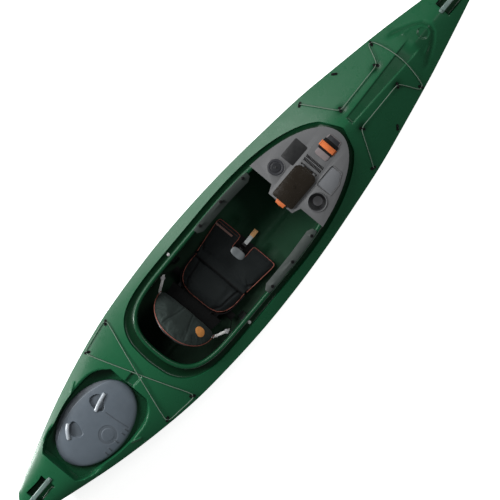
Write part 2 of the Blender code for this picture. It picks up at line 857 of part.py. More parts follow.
# Each corner of a shock cord is an anchor: its eye lies square to the cord's way through.
def build_bungee(name, corners, slack, crossings, cyclic, label):
    eyes = []
    count = len(corners)
    for i, (x, y) in enumerate(corners):
        before = Vector(corners[(i - 1) % count]) if cyclic or i > 0 else Vector((x, y))
        after = Vector(corners[(i + 1) % count]) if cyclic or i + 1 < count else Vector((x, y))
        here = Vector((x, y))
        arrive = (here - before).normalized() if (here - before).length else Vector((0, 0))
        leave = (after - here).normalized() if (after - here).length else Vector((0, 0))
        way = (arrive + leave).normalized()
        heading = math.atan2(way.y, way.x) - math.pi / 2
        frame = frame_on_deck(x, y, heading, (anchor_length, anchor_width))
        anchor = new_object("anchor", anchor_shape.copy())
        anchor.matrix_world = frame
        finish(anchor, f"{label}_anchor_{i + 1}", black_plastic)
        eye = frame @ Vector((0, 0, eye_height))
        along = frame.to_3x3() @ Vector((0, 1, 0))
        eyes.append((eye, along))

    def over_deck(x, y, lift=0.0):
        skin = max(deck_at(x + dx, y + dy)[0].z for dx in (-0.012, 0, 0.012) for dy in (-0.012, 0, 0.012))
        return Vector((x, y, skin + cord_radius + cord_deck_gap + lift))

    reach = 0.013
    route = []
    for i, (eye, along) in enumerate(eyes):
        if cyclic or i > 0:
            route.append(eye - along * reach)
        route.append(eye)
        if cyclic or i + 1 < count:
            route.append(eye + along * reach)
        if cyclic or i + 1 < count:
            following = eyes[(i + 1) % count]
            start = eye + along * reach
            end = following[0] - following[1] * reach
            bow = slack.get(i, 0.0)
            shares = (0.2, 0.5, 0.8) if (end - start).length > 0.25 else (0.5,)
            for share in shares:
                middle = start.lerp(end, share)
                swell = bow * 4 * share * (1 - share)
                lift = crossings.get((i, share), 0.0)
                route.append(over_deck(middle.x + swell, middle.y, lift))
    line = rest_on_deck(smooth_route(route, [2], cyclic), cyclic)
    cord = tube(name, line, cord_radius, 2, cyclic)
    finish(cord, name, black_cord)


bow_corners = [
    (0.772, 0.260), (0.883, 0.076), (1.191, 0.082), (1.269, 0.176),
    (1.264, -0.178), (1.183, -0.075), (0.883, -0.078), (0.767, -0.262),
]
build_bungee("bow_bungee", bow_corners, {3: 0.025}, {}, False, "bow")
stern_corners = [(-0.988, 0.282), (-0.802, 0.310), (-0.988, -0.281), (-0.805, -0.304)]
build_bungee("stern_bungee", stern_corners, {}, {(1, 0.5): cord_crossing_lift}, True, "stern")

for side, name in ((1, "port"), (-1, "starboard")):
    eye_frame = frame_on_deck(1.018, side * 0.222, side * -0.9, (anchor_length, anchor_width))
    pad_eye = new_object("pad_eye", anchor_shape.copy())
    pad_eye.matrix_world = eye_frame
    finish(pad_eye, f"pad_eye_{name}", black_plastic)


# Thigh braces: a formed strip screwed to the inner half of the bead, which it follows facet by facet
brace_screw_xs = (-0.073, 0.097, 0.270)
bead_top_columns = (6, 7)


def bead_point(position, column):
    table = hull_coaming[:, column]
    return np.array([np.interp(position, np.arange(len(table)), table[:, k]) for k in range(3)])


def bead_position(x):
    return float(np.interp(x, hull_coaming[:, bead_top_columns[0], 0], np.arange(len(hull_coaming))))


def build_brace(side, name):
    first = bead_position(brace_rear_x)
    last = bead_position(brace_front_x)
    between = [k for k in range(len(hull_coaming)) if first + 0.1 < k < last - 0.1]
    ends = [
        (first, 0.4), (first + 0.22, 1.0)
    ] + [(k, 1.0) for k in between] + [(last - 0.22, 1.0), (last, 0.4)]
    rings = []
    for position, full in sorted(ends):
        outer = bead_point(position, bead_top_columns[0])
        inner = bead_point(position, bead_top_columns[1])
        inward = inner - outer
        inward[2] = 0.0
        inward /= np.linalg.norm(inward)
        flat = np.linalg.norm((inner - outer)[:2])
        shoulder = flat + bead_round
        reach = shoulder + brace_overhang * full
        start = 0.002 + (1 - full) * 0.008
        drop = -0.012 * full
        section = [
            (start, seat_gap), (start, seat_gap + brace_plate), (shoulder, seat_gap + brace_plate),
            (reach, drop + brace_plate), (reach, drop), (shoulder, seat_gap),
        ]
        rings.append([
            (
                outer[0] + inward[0] * a, side * (outer[1] + inward[1] * a),
                outer[2] + (inner[2] - outer[2]) * min(a / flat, 1) + z
            )
            for a, z in section
        ])
    brace = loft(name, rings)
    for x in brace_screw_xs:
        place = bead_point(bead_position(x), bead_top_columns[1])
        top = (place[0], side * place[1], place[2] + seat_gap + brace_plate)
        boolean(brace, cylinder("brace_screw", 0.006, 0.006, top, 10), "UNION")
    finish(brace, name, black_plastic)


for side, name in ((1, "port"), (-1, "starboard")):
    build_brace(side, f"thigh_brace_{name}")


# Seat bolts through the gutter and the hangers under them
seat_bolt_x = -0.302
seat_bolt_y = 0.286
washer_radius = 0.009


def strip_outline(points, thickness):
    points = [Vector(p) for p in points]
    left = []
    right = []
    for i, place in enumerate(points):
        before = points[max(i - 1, 0)]
        after = points[min(i + 1, len(points) - 1)]
        first = (place - before).normalized() if i > 0 else (after - place).normalized()
        second = (after - place).normalized() if i + 1 < len(points) else first
        across = Vector((-(first + second).y, (first + second).x)).normalized()
        grow = thickness / 2 / max(across.dot(Vector((-first.y, first.x))), 0.4)
        left.append(place + across * grow)
        right.append(place - across * grow)
    return [tuple(p) for p in left + right[::-1]]


for side, name in ((1, "port"), (-1, "starboard")):
    matrix = frame_on_deck(seat_bolt_x, side * seat_bolt_y, 0, (washer_radius, washer_radius))
    head = turned(
        "seat_bolt",
        [
            (0, 0.0065), (0.004, 0.006), (0.006, 0.003), (0.006, 0.0015), (washer_radius, 0.0015),
            (washer_radius, 0), (0, 0)
        ],
        steps=16,
    )
    head.matrix_world = matrix
    finish(head, f"seat_bolt_{name}", steel)
    strap = 0.003
    under = deck_at(seat_bolt_x, side * seat_bolt_y)[0].z - hull_wall
    route = [(0.294, under - 0.0062), (0.262, under - 0.0062), (0.247, under - 0.026), (0.237, 0.062)]
    for y in (0.2195, 0.1680, track_half_gauge + track_stem_width / 2 + seat_gap):
        route.append((y, floor_inside(seat_bolt_x, side * y) + seat_gap + strap / 2 + 0.0002))
    bracket = plate("seat_bracket", strip_outline([(side * y, z) for y, z in route], strap), 0.040)
    bracket.rotation_euler = (math.pi / 2, 0, math.pi / 2)
    bracket.location = (seat_bolt_x, 0, 0)
    finish(bracket, f"seat_bracket_{name}", anodised_rail)


# Seat track: two T rails on the floor
def extrude_section(name, outline, length, location):
    obj = plate(name, outline, length)
    obj.rotation_euler = (math.pi / 2, 0, math.pi / 2)
    obj.location = location
    return obj


track_length = track_front_x - track_rear_x
track_middle_x = (track_front_x + track_rear_x) / 2
track_floor_z = hull_wall + seat_gap
head_low_z = track_floor_z + track_stem_height
head_top_z = head_low_z + track_head_height

for side, name in ((1, "port"), (-1, "starboard")):
    middle = side * track_half_gauge
    stem = track_stem_width / 2
    head = track_head_width / 2
    section = [
        (middle - stem, track_floor_z), (middle + stem, track_floor_z), (middle + stem, head_low_z),
        (middle + head, head_low_z), (middle + head, head_top_z), (middle - head, head_top_z),
        (middle - head, head_low_z), (middle - stem, head_low_z),
    ]
    rail = extrude_section("seat_track", section, track_length, (track_middle_x, 0, 0))
    finish(rail, f"seat_track_{name}", anodised_rail)

# Seat base: a pan with runners that hold the track heads, ears for the backrest and for the lever
runner_length = 0.30
runner_middle_x = -0.21
pan_floor_top = seat_pan_z + seat_pan_wall
ear_thick = 0.008
ear_middle_y = 0.098
backrest_axle_radius = 0.006
axle_clearance = 0.0003
lever_axle_x = -0.030
lever_axle_z = 0.062
lever_axle_radius = 0.003
lever_axle_clearance = 0.00025
lever_barrel_radius = 0.0075
lever_half = 0.010
lever_ear = 0.005
side_clearance = 0.0006


seat_corner_reach = 0.105
seat_rear_flat = seat_rear_half - 0.02
seat_hip_x = -0.12


# Half the seat's plan, from the middle of its rear edge round to its front edge.
def seat_half_plan(shrink):
    turns = np.linspace(0, math.pi / 2, 7)
    corner = [
        (
            seat_rear_x + shrink + seat_corner_reach * (1 - math.cos(t)),
            seat_rear_flat + (seat_mid_half - seat_rear_flat - shrink) * math.sin(t)
        )
        for t in turns
    ]
    return corner + [
        (seat_hip_x, seat_mid_half + 0.008 - shrink),
        (seat_front_x - 0.02 - shrink, seat_front_half - shrink),
        (seat_front_x - shrink, seat_front_half - 0.012 - shrink),
    ]


def clip_plan(points, low_x, high_x):
    xs = np.array([p[0] for p in points])
    ys = np.array([p[1] for p in points])
    kept = [p for p in points if low_x < p[0] < high_x]
    if low_x > xs[0]:
        kept = [(low_x, float(np.interp(low_x, xs, ys)))] + kept
    if high_x < xs[-1]:
        kept = kept + [(high_x, float(np.interp(high_x, xs, ys)))]
    return kept


def both_sides(points):
    return points + [(x, -y) for x, y in points[::-1]]


# The same with the notch that lets the lever and strap through.
def notched(points):
    front = points[-1][0]
    notch = [
        (front, notch_half), (notch_rear_x, notch_half), (notch_rear_x, -notch_half), (front, -notch_half)
    ]
    return points + notch + [(x, -y) for x, y in points[::-1]]


def edge_of_plan(points, x):
    return float(np.interp(x, [p[0] for p in points], [p[1] for p in points]))


# Side wings that carry the bracket ends: their length along the seat, and how far they go out and in.
wing_rear_x = -0.365
wing_front_x = -0.325
wing_reach = 0.035
wing_root = 0.0035
wing_thick = 0.005
wing_rise = 0.0225
# Arms that carry the backrest, and ears that carry the lever.
arm_behind_axle = 0.012
arm_over_axle = 0.014
arm_root = 0.0075
lever_ear_length = 0.018
lever_ear_over_axle = 0.009


def build_seat_base():
    plan = seat_half_plan(0.004)
    base = plate("seat_base", both_sides(plan), seat_pan_height, (0, 0, seat_pan_z + seat_pan_height / 2))
    rim_front_x = seat_split_x - 0.012
    inner = clip_plan(seat_half_plan(0.004 + seat_pan_wall), -10, rim_front_x + 0.005)
    hollow = plate("hollow", both_sides(inner), seat_pan_height, (0, 0, pan_floor_top + seat_pan_height / 2))
    boolean(base, hollow, "DIFFERENCE")
    front = box(
        "front_cut", (0.4, 0.6, seat_pan_height), (rim_front_x + 0.2, 0, pan_floor_top + seat_pan_height / 2)
    )
    boolean(base, front, "DIFFERENCE")
    gap = runner_clearance
    for side in (-1, 1):
        middle = side * track_half_gauge
        head = track_head_width / 2 + gap
        stem = track_stem_width / 2 + gap
        outer = head + runner_wall
        low = head_low_z - gap - 0.0035
        section = [
            (middle + stem, low), (middle + outer, low), (middle + outer, seat_pan_z + 0.002),
            (middle - outer, seat_pan_z + 0.002), (middle - outer, low), (middle - stem, low),
            (middle - stem, head_low_z - gap), (middle - head, head_low_z - gap),
            (middle - head, head_top_z + gap),
            (middle + head, head_top_z + gap), (middle + head, head_low_z - gap),
            (middle + stem, head_low_z - gap),
        ]
        runner = extrude_section("runner", section, runner_length, (runner_middle_x, 0, 0))
        boolean(base, runner, "UNION")
        arm_rear_x = backrest_hinge_x - arm_behind_axle
        arm_length = seat_rear_x + arm_root - arm_rear_x
        arm_top_z = backrest_hinge_z + arm_over_axle
        arm = box(
            "arm", (arm_length, ear_thick, arm_top_z - seat_pan_z),
            (arm_rear_x + arm_length / 2, side * ear_middle_y, (arm_top_z + seat_pan_z) / 2)
        )
        boolean(base, arm, "UNION")
        bore = cylinder("bore", backrest_axle_radius + axle_clearance, 0.02,
                        (backrest_hinge_x, side * ear_middle_y, backrest_hinge_z), 16)
        bore.rotation_euler = (math.pi / 2, 0, 0)
        boolean(base, bore, "DIFFERENCE")
        wing_tip = side * (edge_of_plan(plan, wing_front_x) + wing_reach)
        wing_outline = [
            (wing_rear_x, side * (edge_of_plan(plan, wing_rear_x) - wing_root)),
            (wing_front_x, side * (edge_of_plan(plan, wing_front_x) - wing_root)),
            (wing_front_x, wing_tip), (wing_rear_x, wing_tip),
        ]
        wing = plate("wing", wing_outline, wing_thick, (0, 0, seat_pan_z + wing_rise))
        boolean(base, wing, "UNION")
        ear_y = side * (lever_half + side_clearance + lever_ear / 2)
        ear_low_z = seat_pan_z + 0.002
        ear_top_z = lever_axle_z + lever_ear_over_axle
        ear = box(
            "ear", (lever_ear_length, lever_ear, ear_top_z - ear_low_z),
            (lever_axle_x, ear_y, (ear_top_z + ear_low_z) / 2)
        )
        boolean(base, ear, "UNION")
        pivot = cylinder(
            "pivot", lever_axle_radius + lever_axle_clearance, 0.014, (lever_axle_x, ear_y, lever_axle_z), 12
        )
        pivot.rotation_euler = (math.pi / 2, 0, 0)
        boolean(base, pivot, "DIFFERENCE")
    finish(base, "seat_base", black_plastic)
    pivot_at(base, ((seat_rear_x + seat_front_x) / 2, 0, seat_pan_z))


build_seat_base()


# Lever: a barrel with stub axles, a leaning stem and an oval grip
lever_stem_radius = 0.0055
lever_grip_x = -0.0567
lever_grip_z = 0.168
lever_grip_size = (0.049, 0.086, 0.014)


def build_lever():
    lever = cylinder(
        "slide_lever", lever_barrel_radius, 2 * lever_half, (lever_axle_x, 0, lever_axle_z), 16
    )
    lever.rotation_euler = (math.pi / 2, 0, 0)
    axle = cylinder(
        "axle", lever_axle_radius, 2 * (lever_half + side_clearance + lever_ear),
        (lever_axle_x, 0, lever_axle_z), 12
    )
    axle.rotation_euler = (math.pi / 2, 0, 0)
    boolean(lever, axle, "UNION")
    route = [
        (lever_axle_x, 0, lever_axle_z), (lever_axle_x + 0.004, 0, lever_axle_z + 0.035),
        (lever_axle_x, 0, lever_axle_z + 0.070), (lever_grip_x + 0.012, 0, lever_grip_z - 0.012),
        (lever_grip_x, 0, lever_grip_z),
    ]
    boolean(lever, to_mesh(tube("stem", route, lever_stem_radius, 1)), "UNION")
    half = lever_grip_size[2] / 2
    length = lever_grip_size[1] / 2
    profile = [(0, half), (length * 0.7, half * 0.9), (length * 0.93, half * 0.5), (length, 0),
               (length * 0.93, -half * 0.5), (length * 0.7, -half * 0.9), (0, -half)]
    grip = turned("grip", profile, steps=20)
    grip.data.transform(Matrix.Diagonal((lever_grip_size[0] / lever_grip_size[1], 1, 1, 1)))
    grip.location = (lever_grip_x, 0, lever_grip_z)
    boolean(lever, grip, "UNION")
    finish(lever, "slide_lever", pale_grey_plastic)


build_lever()


# A padded piece over a plan outline: flat underneath, drawn in at its sides and crowned on top, with
# sunk channels. Rows run along the plan's length, columns across it.
def cushion(name, low, high, base_z, thick, crown, channel, rows=12, columns=13, taper=0.0):
    xs = np.linspace(low[0], high[0], rows)
    rings = []
    shares = np.linspace(-1, 1, columns)
    for i, x in enumerate(xs):
        left, right = low[1](x), high[1](x)
        end = min(i, rows - 1 - i)
        top = []
        bottom = []
        for s in shares:
            y = (left + right) / 2 + (right - left) / 2 * s
            edge = (1 - abs(s) ** 6) ** 0.5 if abs(s) < 1 else 0.0
            along = (0.62, 0.94, 1.0)[min(end, 2)]
            height = thick * (0.55 + 0.45 * edge) * along + crown * (1 - s * s) * along
            height -= channel(x, y) * along * edge
            top.append((x + taper * height if i == 0 else x, y, base_z + height))
            bottom.append((x, y * 0.985, base_z))
        rings.append(top + bottom[::-1])
    return loft(name, rings)


def seat_side(shrink):
    points = seat_half_plan(shrink)
    xs = np.array([p[0] for p in points])
    ys = np.array([p[1] for p in points])
    return lambda x: float(np.interp(x, xs, ys))


# Depth of the sewn channels: one along each thigh, and one across behind the split.
def channel_depth(x, y):
    line = 0.105 + 0.095 * max(0.0, (x + 0.22)) / 0.13
    return 0.007 * math.exp(-(((abs(y) - line) / 0.010) ** 2))


rear_side = seat_side(0.004 + seat_pan_wall + 0.0006)
rear_cushion = cushion(
    "seat_cushion_rear",
    (seat_rear_x + 0.0112, lambda x: -rear_side(x)), (seat_split_x - 0.0066, lambda x: rear_side(x)),
    pan_floor_top + seat_gap, cushion_thick + 0.006, 0.004, channel_depth, 11, 15,
)
finish(rear_cushion, "seat_cushion_rear", black_fabric, 60)

# Lifter: a hinged shell that raises the front cushion under the thighs
lifter_plate = 0.005
lifter_barrel = 0.0055
lifter_hinge_z = pan_floor_top + 2 * seat_gap + lifter_barrel
lifter_low_z = pan_floor_top + seat_gap


def build_lifter():
    plan = clip_plan(seat_half_plan(0.006), seat_split_x + 0.0017, 10)
    lifter = plate("seat_lifter", notched(plan), lifter_plate, (0, 0, lifter_low_z + lifter_plate / 2))
    barrel = cylinder("barrel", lifter_barrel, 0.30, (seat_split_x, 0, lifter_hinge_z), 14)
    barrel.rotation_euler = (math.pi / 2, 0, 0)
    boolean(lifter, barrel, "UNION")
    finish(lifter, "seat_lifter", black_plastic)
    pivot_at(lifter, (seat_split_x, 0, lifter_hinge_z))


build_lifter()

front_side = seat_side(0.004)


# The front cushion is two lobes joined behind the notch, with its rear face sloped clear of the hinge.
def build_front_cushion():
    base = lifter_low_z + lifter_plate + seat_gap
    whole = cushion(
        "seat_cushion_front",
        (seat_split_x + 0.008, lambda x: -front_side(x)), (seat_front_x - 0.004, lambda x: front_side(x)),
        base, cushion_thick - 0.004, 0.003, channel_depth, 12, 15, 0.25,
    )
    outline = [
        (notch_rear_x, notch_half), (notch_rear_x, -notch_half), (0.10, -notch_half), (0.10, notch_half)
    ]
    notch = plate("notch", outline, 0.12, (0, 0, base + 0.03))
    boolean(whole, notch, "DIFFERENCE")
    finish(whole, "seat_cushion_front", black_fabric, 60)


build_front_cushion()

# Webbing that raises the lifter, with its buckle and pull tab in the notch
strap_front_x = 0.065
tab_front_x = 0.108


def ribbon(name, points, thickness, width, location=(0, 0, 0)):
    obj = plate(name, strip_outline(points, thickness), width)
    obj.rotation_euler = (math.pi / 2, 0, 0)
    obj.location = location
    return obj


buckle = box("buckle", (0.014, 0.030, 0.012), (0.002, 0, pan_floor_top + seat_gap + 0.006))
bevel(buckle, 0.002, 1)
finish(buckle, "lifter_buckle", black_plastic)
webbing = [(0.0095, 0.052), (0.028, 0.056), (0.046, 0.053), (strap_front_x, 0.043)]
finish(ribbon("lifter_strap", webbing, 0.0024, 0.024), "lifter_strap", grey_webbing)
tab_route = [(strap_front_x + 0.0003, 0.0428), (0.086, 0.032), (tab_front_x, 0.026)]
finish(ribbon("strap_tab", tab_route, 0.0044, 0.027), "strap_tab", orange_webbing)

# Backrest: shell and pad in their own leaning plane, hinged at the lower edge
lean = Matrix.Translation((backrest_hinge_x, 0, backrest_hinge_z)) @ Matrix.Rotation(-backrest_lean, 4, "Y")
shell_back = -0.003


# Half-width of the backrest at a height along its plane.
def backrest_half_width(v):
    share = max(0.0, 1 - (max(v - 0.05, 0) / (backrest_height - 0.05)) ** 2.4)
    lower = min(1.0, 0.82 + 0.18 * max(v, 0) / 0.05)
    return backrest_half * share ** 0.5 * lower


def build_backrest():
    heights = list(np.linspace(0.026, 0.20, 5)) + [0.235, 0.262, 0.282, 0.294]
    side_points = [(v, backrest_half_width(v) - 0.006) for v in heights]
    outline = both_sides(side_points)
    shell = plate("backrest_shell", outline, backrest_shell_thick)
    # The outline's first axis climbs the leaning plane and its plane faces the sitter.
    shell.data.transform(Matrix.Rotation(-math.pi / 2, 4, "Y"))
    shell.data.transform(Matrix.Translation((shell_back, 0, 0)))
    axle = cylinder("axle", backrest_axle_radius, 2 * (ear_middle_y + ear_thick / 2), (0, 0, 0), 16)
    axle.rotation_euler = (math.pi / 2, 0, 0)
    boolean(shell, axle, "UNION")
    for side in (-1, 1):
        hinge_leaf = box("leaf", (0.0052, 0.030, 0.036), (shell_back, side * 0.060, 0.013))
        boolean(shell, hinge_leaf, "UNION")
    bpy.context.view_layer.update()
    result = to_mesh(shell)
    result.matrix_world = lean
    finish(result, "backrest_shell", black_plastic)

    rows = 12
    columns = 13
    rings = []
    low = 0.034
    for i, v in enumerate(np.linspace(low, backrest_height - 0.003, rows)):
        half = backrest_half_width(v) * (0.96 if i == 0 else 1.0)
        end = min(i, rows - 1 - i)
        along = (0.5, 0.85, 1.0)[min(end, 2)]
        front = []
        back = []
        for s in np.linspace(-1, 1, columns):
            swell = (1 - abs(s) ** 5) ** 0.5 if abs(s) < 1 else 0.0
            depth = backrest_pad_thick * (0.45 + 0.55 * swell) * along + 0.004 * (1 - s * s)
            ridge = 0.004 * math.exp(-(((abs(half * s) - 0.062) / 0.012) ** 2)) * along
            front.append((shell_back + backrest_shell_thick / 2 + seat_gap + depth - ridge, half * s, v))
            back.append((shell_back + backrest_shell_thick / 2 + seat_gap, half * s * 0.985, v))
        rings.append(front + back[::-1])
    pad = loft("backrest_pad", rings)
    pad.matrix_world = lean
    finish(pad, "backrest_pad", black_fabric, 60)


build_backrest()


# Straps from the backrest's sides forward and down to the seat's wings
def flat_strap(name, points, widths, thickness, material):
    points = [Vector(p) for p in points]
    rings = []
    for i, place in enumerate(points):
        along = (points[min(i + 1, len(points) - 1)] - points[max(i - 1, 0)]).normalized()
        across = widths[i].normalized()
        face = along.cross(across).normalized()
        a = across * strap_width / 2
        b = face * thickness / 2
        rings.append([place + a + b, place - a + b, place - a - b, place + a - b])
    finish(loft(name, rings), name, material)


for side, name in ((1, "port"), (-1, "starboard")):
    edge = backrest_half_width(0.13)
    behind = shell_back - backrest_shell_thick / 2 - strap_thick / 2 - seat_gap
    turned_back = [(behind, edge - 0.022, 0.13), (behind, edge + 0.001, 0.13), (0.010, edge + 0.010, 0.128)]
    route = [lean @ Vector((x, side * y, v)) for x, y, v in turned_back]
    route += [Vector((-0.415, side * 0.222, 0.120)), Vector((-0.362, side * 0.2125, 0.068))]
    up = (lean.to_3x3() @ Vector((0, 0, 1))).normalized()
    widths = [up, up, up, Vector((-0.3, 0, 1)), Vector((-0.6, 0, 1))]
    flat_strap(f"backrest_strap_{name}", route, widths, strap_thick, grey_webbing)


# Console: a cover over the front of the cockpit, built flat and then laid on the coaming's slope
slope_angle = math.atan(coaming_front_slope)
slope = Matrix.Translation((coaming_front_x, 0, coaming_front_z)) @ Matrix.Rotation(-slope_angle, 4, "Y")
console_top_z = seat_gap + console_plate


def along_slope(x):
    return (x - coaming_front_x) / math.cos(slope_angle)


# A piece built at the world's origin, then carried to its place with its tools' work done.
def moved(obj, frame):
    result = to_mesh(obj)
    result.matrix_world = frame @ result.matrix_world
    return result


def laid_on_slope(obj):
    return moved(obj, slope)


# An outline with each corner rounded off.
def rounded_outline(corners, radius, steps=3):
    result = []
    count = len(corners)
    for i, corner in enumerate(corners):
        here = Vector(corner)
        before = (Vector(corners[i - 1]) - here).normalized()
        after = (Vector(corners[(i + 1) % count]) - here).normalized()
        half_turn = before.angle(after) / 2
        reach = radius / math.tan(half_turn)
        centre = here + (before + after).normalized() * (radius / math.sin(half_turn))
        first = here + before * reach - centre
        last = here + after * reach - centre
        for k in range(steps + 1):
            spoke = first.lerp(last, k / steps).normalized() * radius
            result.append(tuple(centre + spoke))
    return result


def console_outline():
    edge = coaming_edge(41)
    edge = edge + edge_normals(edge) * console_overhang
    kept = [(float(x), float(y)) for x, y in edge if x > console_rear_x + 0.012]
    rear_half = float(np.interp(console_rear_x, edge[:, 0], edge[:, 1]))
    half = [(console_tongue_x, console_tongue_half), (console_rear_x, console_tongue_half + 0.020),
            (console_rear_x, rear_half)] + kept[:-1]
    tip = [kept[-1]]
    whole = half + tip + [(x, -y) for x, y in half[::-1]]
    return [(along_slope(x), y) for x, y in whole]


def slope_box(name, x_range, y_range, z_range):
    low, high = along_slope(x_range[0]), along_slope(x_range[1])
    size = (high - low, y_range[1] - y_range[0], z_range[1] - z_range[0])
    middle = ((low + high) / 2, sum(y_range) / 2, sum(z_range) / 2)
    return box(name, size, middle)


def slope_cylinder(name, radius, x, y, z_range, sides=32, top_radius=None):
    return cylinder(
        name, radius, z_range[1] - z_range[0], (along_slope(x), y, sum(z_range) / 2), sides, top_radius
    )


hinge_x = dry_box_front_x + 0.0055
hinge_z = console_top_z + 0.0055
dry_box_x = (dry_box_rear_x + dry_box_front_x) / 2
dry_box_length = dry_box_front_x - dry_box_rear_x
insert_boss_wall = 0.005
insert_boss_rise = 0.002
insert_floor_z = console_top_z + insert_boss_rise - insert_depth
cup_taper = 0.003
tub_corner = 0.009
tray_floor_z = 0.0017
hinge_knuckle = 0.015
hinge_pin_clearance = 0.0004
# How far a cutting tool reaches over the console's top.
above_console = 0.02


def slope_plate(name, length, width, radius, x, z_range):
    outline = rounded_rectangle(length, width, radius, 3)
    return plate(name, outline, z_range[1] - z_range[0], (along_slope(x), 0, sum(z_range) / 2))


def build_console():
    console = plate("console", console_outline(), console_plate, (0, 0, seat_gap + console_plate / 2))
    lip = slope_box(
        "lip", (console_rear_x + 0.0005, console_rear_x + 0.0045), (-console_lip_half, console_lip_half),
        (console_top_z - console_lip_drop, console_top_z - 0.002)
    )
    boolean(console, lip, "UNION")
    cup = slope_cylinder(
        "cup", cup_radius - cup_taper, cup_x, cup_y, (-cup_depth, console_top_z + cup_rim), 32, cup_radius
    )
    boolean(console, cup, "UNION")
    boss = slope_cylinder(
        "boss", insert_radius + insert_boss_wall, cup_x, insert_y,
        (insert_floor_z - tub_wall, console_top_z + insert_boss_rise)
    )
    boolean(console, boss, "UNION")
    tub_length = dry_box_length - 2 * dry_box_ledge
    tub_half = dry_box_half - dry_box_ledge
    tub_outer = slope_plate(
        "tub", tub_length + 2 * tub_wall, 2 * (tub_half + tub_wall), tub_corner + tub_wall, dry_box_x,
        (-dry_box_depth, console_top_z + dry_box_rim)
    )
    boolean(console, tub_outer, "UNION")
    tray_outline = rounded_outline([(along_slope(x), y) for x, y in tray_corners], 0.012)
    middle = np.mean(np.array(tray_outline), axis=0)
    wide = [tuple(middle + (np.array(p) - middle) * 1.07) for p in tray_outline]
    boolean(
        console, plate("tray_rim", wide, tray_rim + 0.002, (0, 0, console_top_z + tray_rim / 2 - 0.001)),
        "UNION"
    )
    for side in (-1, 1):
        middle_y = side * (hinge_half + side_clearance + hinge_knuckle / 2)
        knuckle = cylinder(
            "knuckle", hinge_barrel, hinge_knuckle, (along_slope(hinge_x), middle_y, hinge_z), 14
        )
        knuckle.rotation_euler = (math.pi / 2, 0, 0)
        foot = slope_box("foot", (hinge_x - 0.0042, hinge_x + 0.0042), (middle_y - 0.0072, middle_y + 0.0072),
                         (console_top_z - 0.001, hinge_z))
        boolean(console, knuckle, "UNION")
        boolean(console, foot, "UNION")
    cup_hollow = slope_cylinder(
        "cup_hollow", cup_radius - cup_taper - tub_wall, cup_x, cup_y,
        (tub_wall - cup_depth, console_top_z + above_console), 32, cup_radius - tub_wall + 0.0006
    )
    boolean(console, cup_hollow, "DIFFERENCE")
    recess = slope_cylinder(
        "insert_recess", insert_radius + seat_gap, cup_x, insert_y,
        (insert_floor_z, console_top_z + above_console)
    )
    boolean(console, recess, "DIFFERENCE")
    tub_hollow = slope_plate(
        "tub_hollow", tub_length, 2 * tub_half, tub_corner, dry_box_x,
        (tub_wall - dry_box_depth, console_top_z + above_console)
    )
    boolean(console, tub_hollow, "DIFFERENCE")
    tray_hollow = plate("tray_hollow", tray_outline, above_console, (0, 0, tray_floor_z + above_console / 2))
    boolean(console, tray_hollow, "DIFFERENCE")
    bore = cylinder(
        "bore", hinge_pin_radius + hinge_pin_clearance, 0.12, (along_slope(hinge_x), 0, hinge_z), 12
    )
    bore.rotation_euler = (math.pi / 2, 0, 0)
    boolean(console, bore, "DIFFERENCE")
    finish(laid_on_slope(console), "console", grey_plastic)


build_console()

lid_low_z = console_top_z + 0.0004
lid_under_z = console_top_z + dry_box_rim + seat_gap
lid_top_z = lid_under_z + dry_lid_thick
latch_axle_x = 0.3035
latch_axle_z = lid_under_z + 0.0015
latch_half = 0.027
latch_rear_x = 0.2865
latch_half_thick = 0.0032
latch_barrel = 0.0034
latch_axle_radius = 0.0015
latch_ear_thick = 0.006
lid_skirt = 0.0055
lid_boss_x = 0.4104
lid_boss_radius = 0.009
lid_boss_height = 0.003


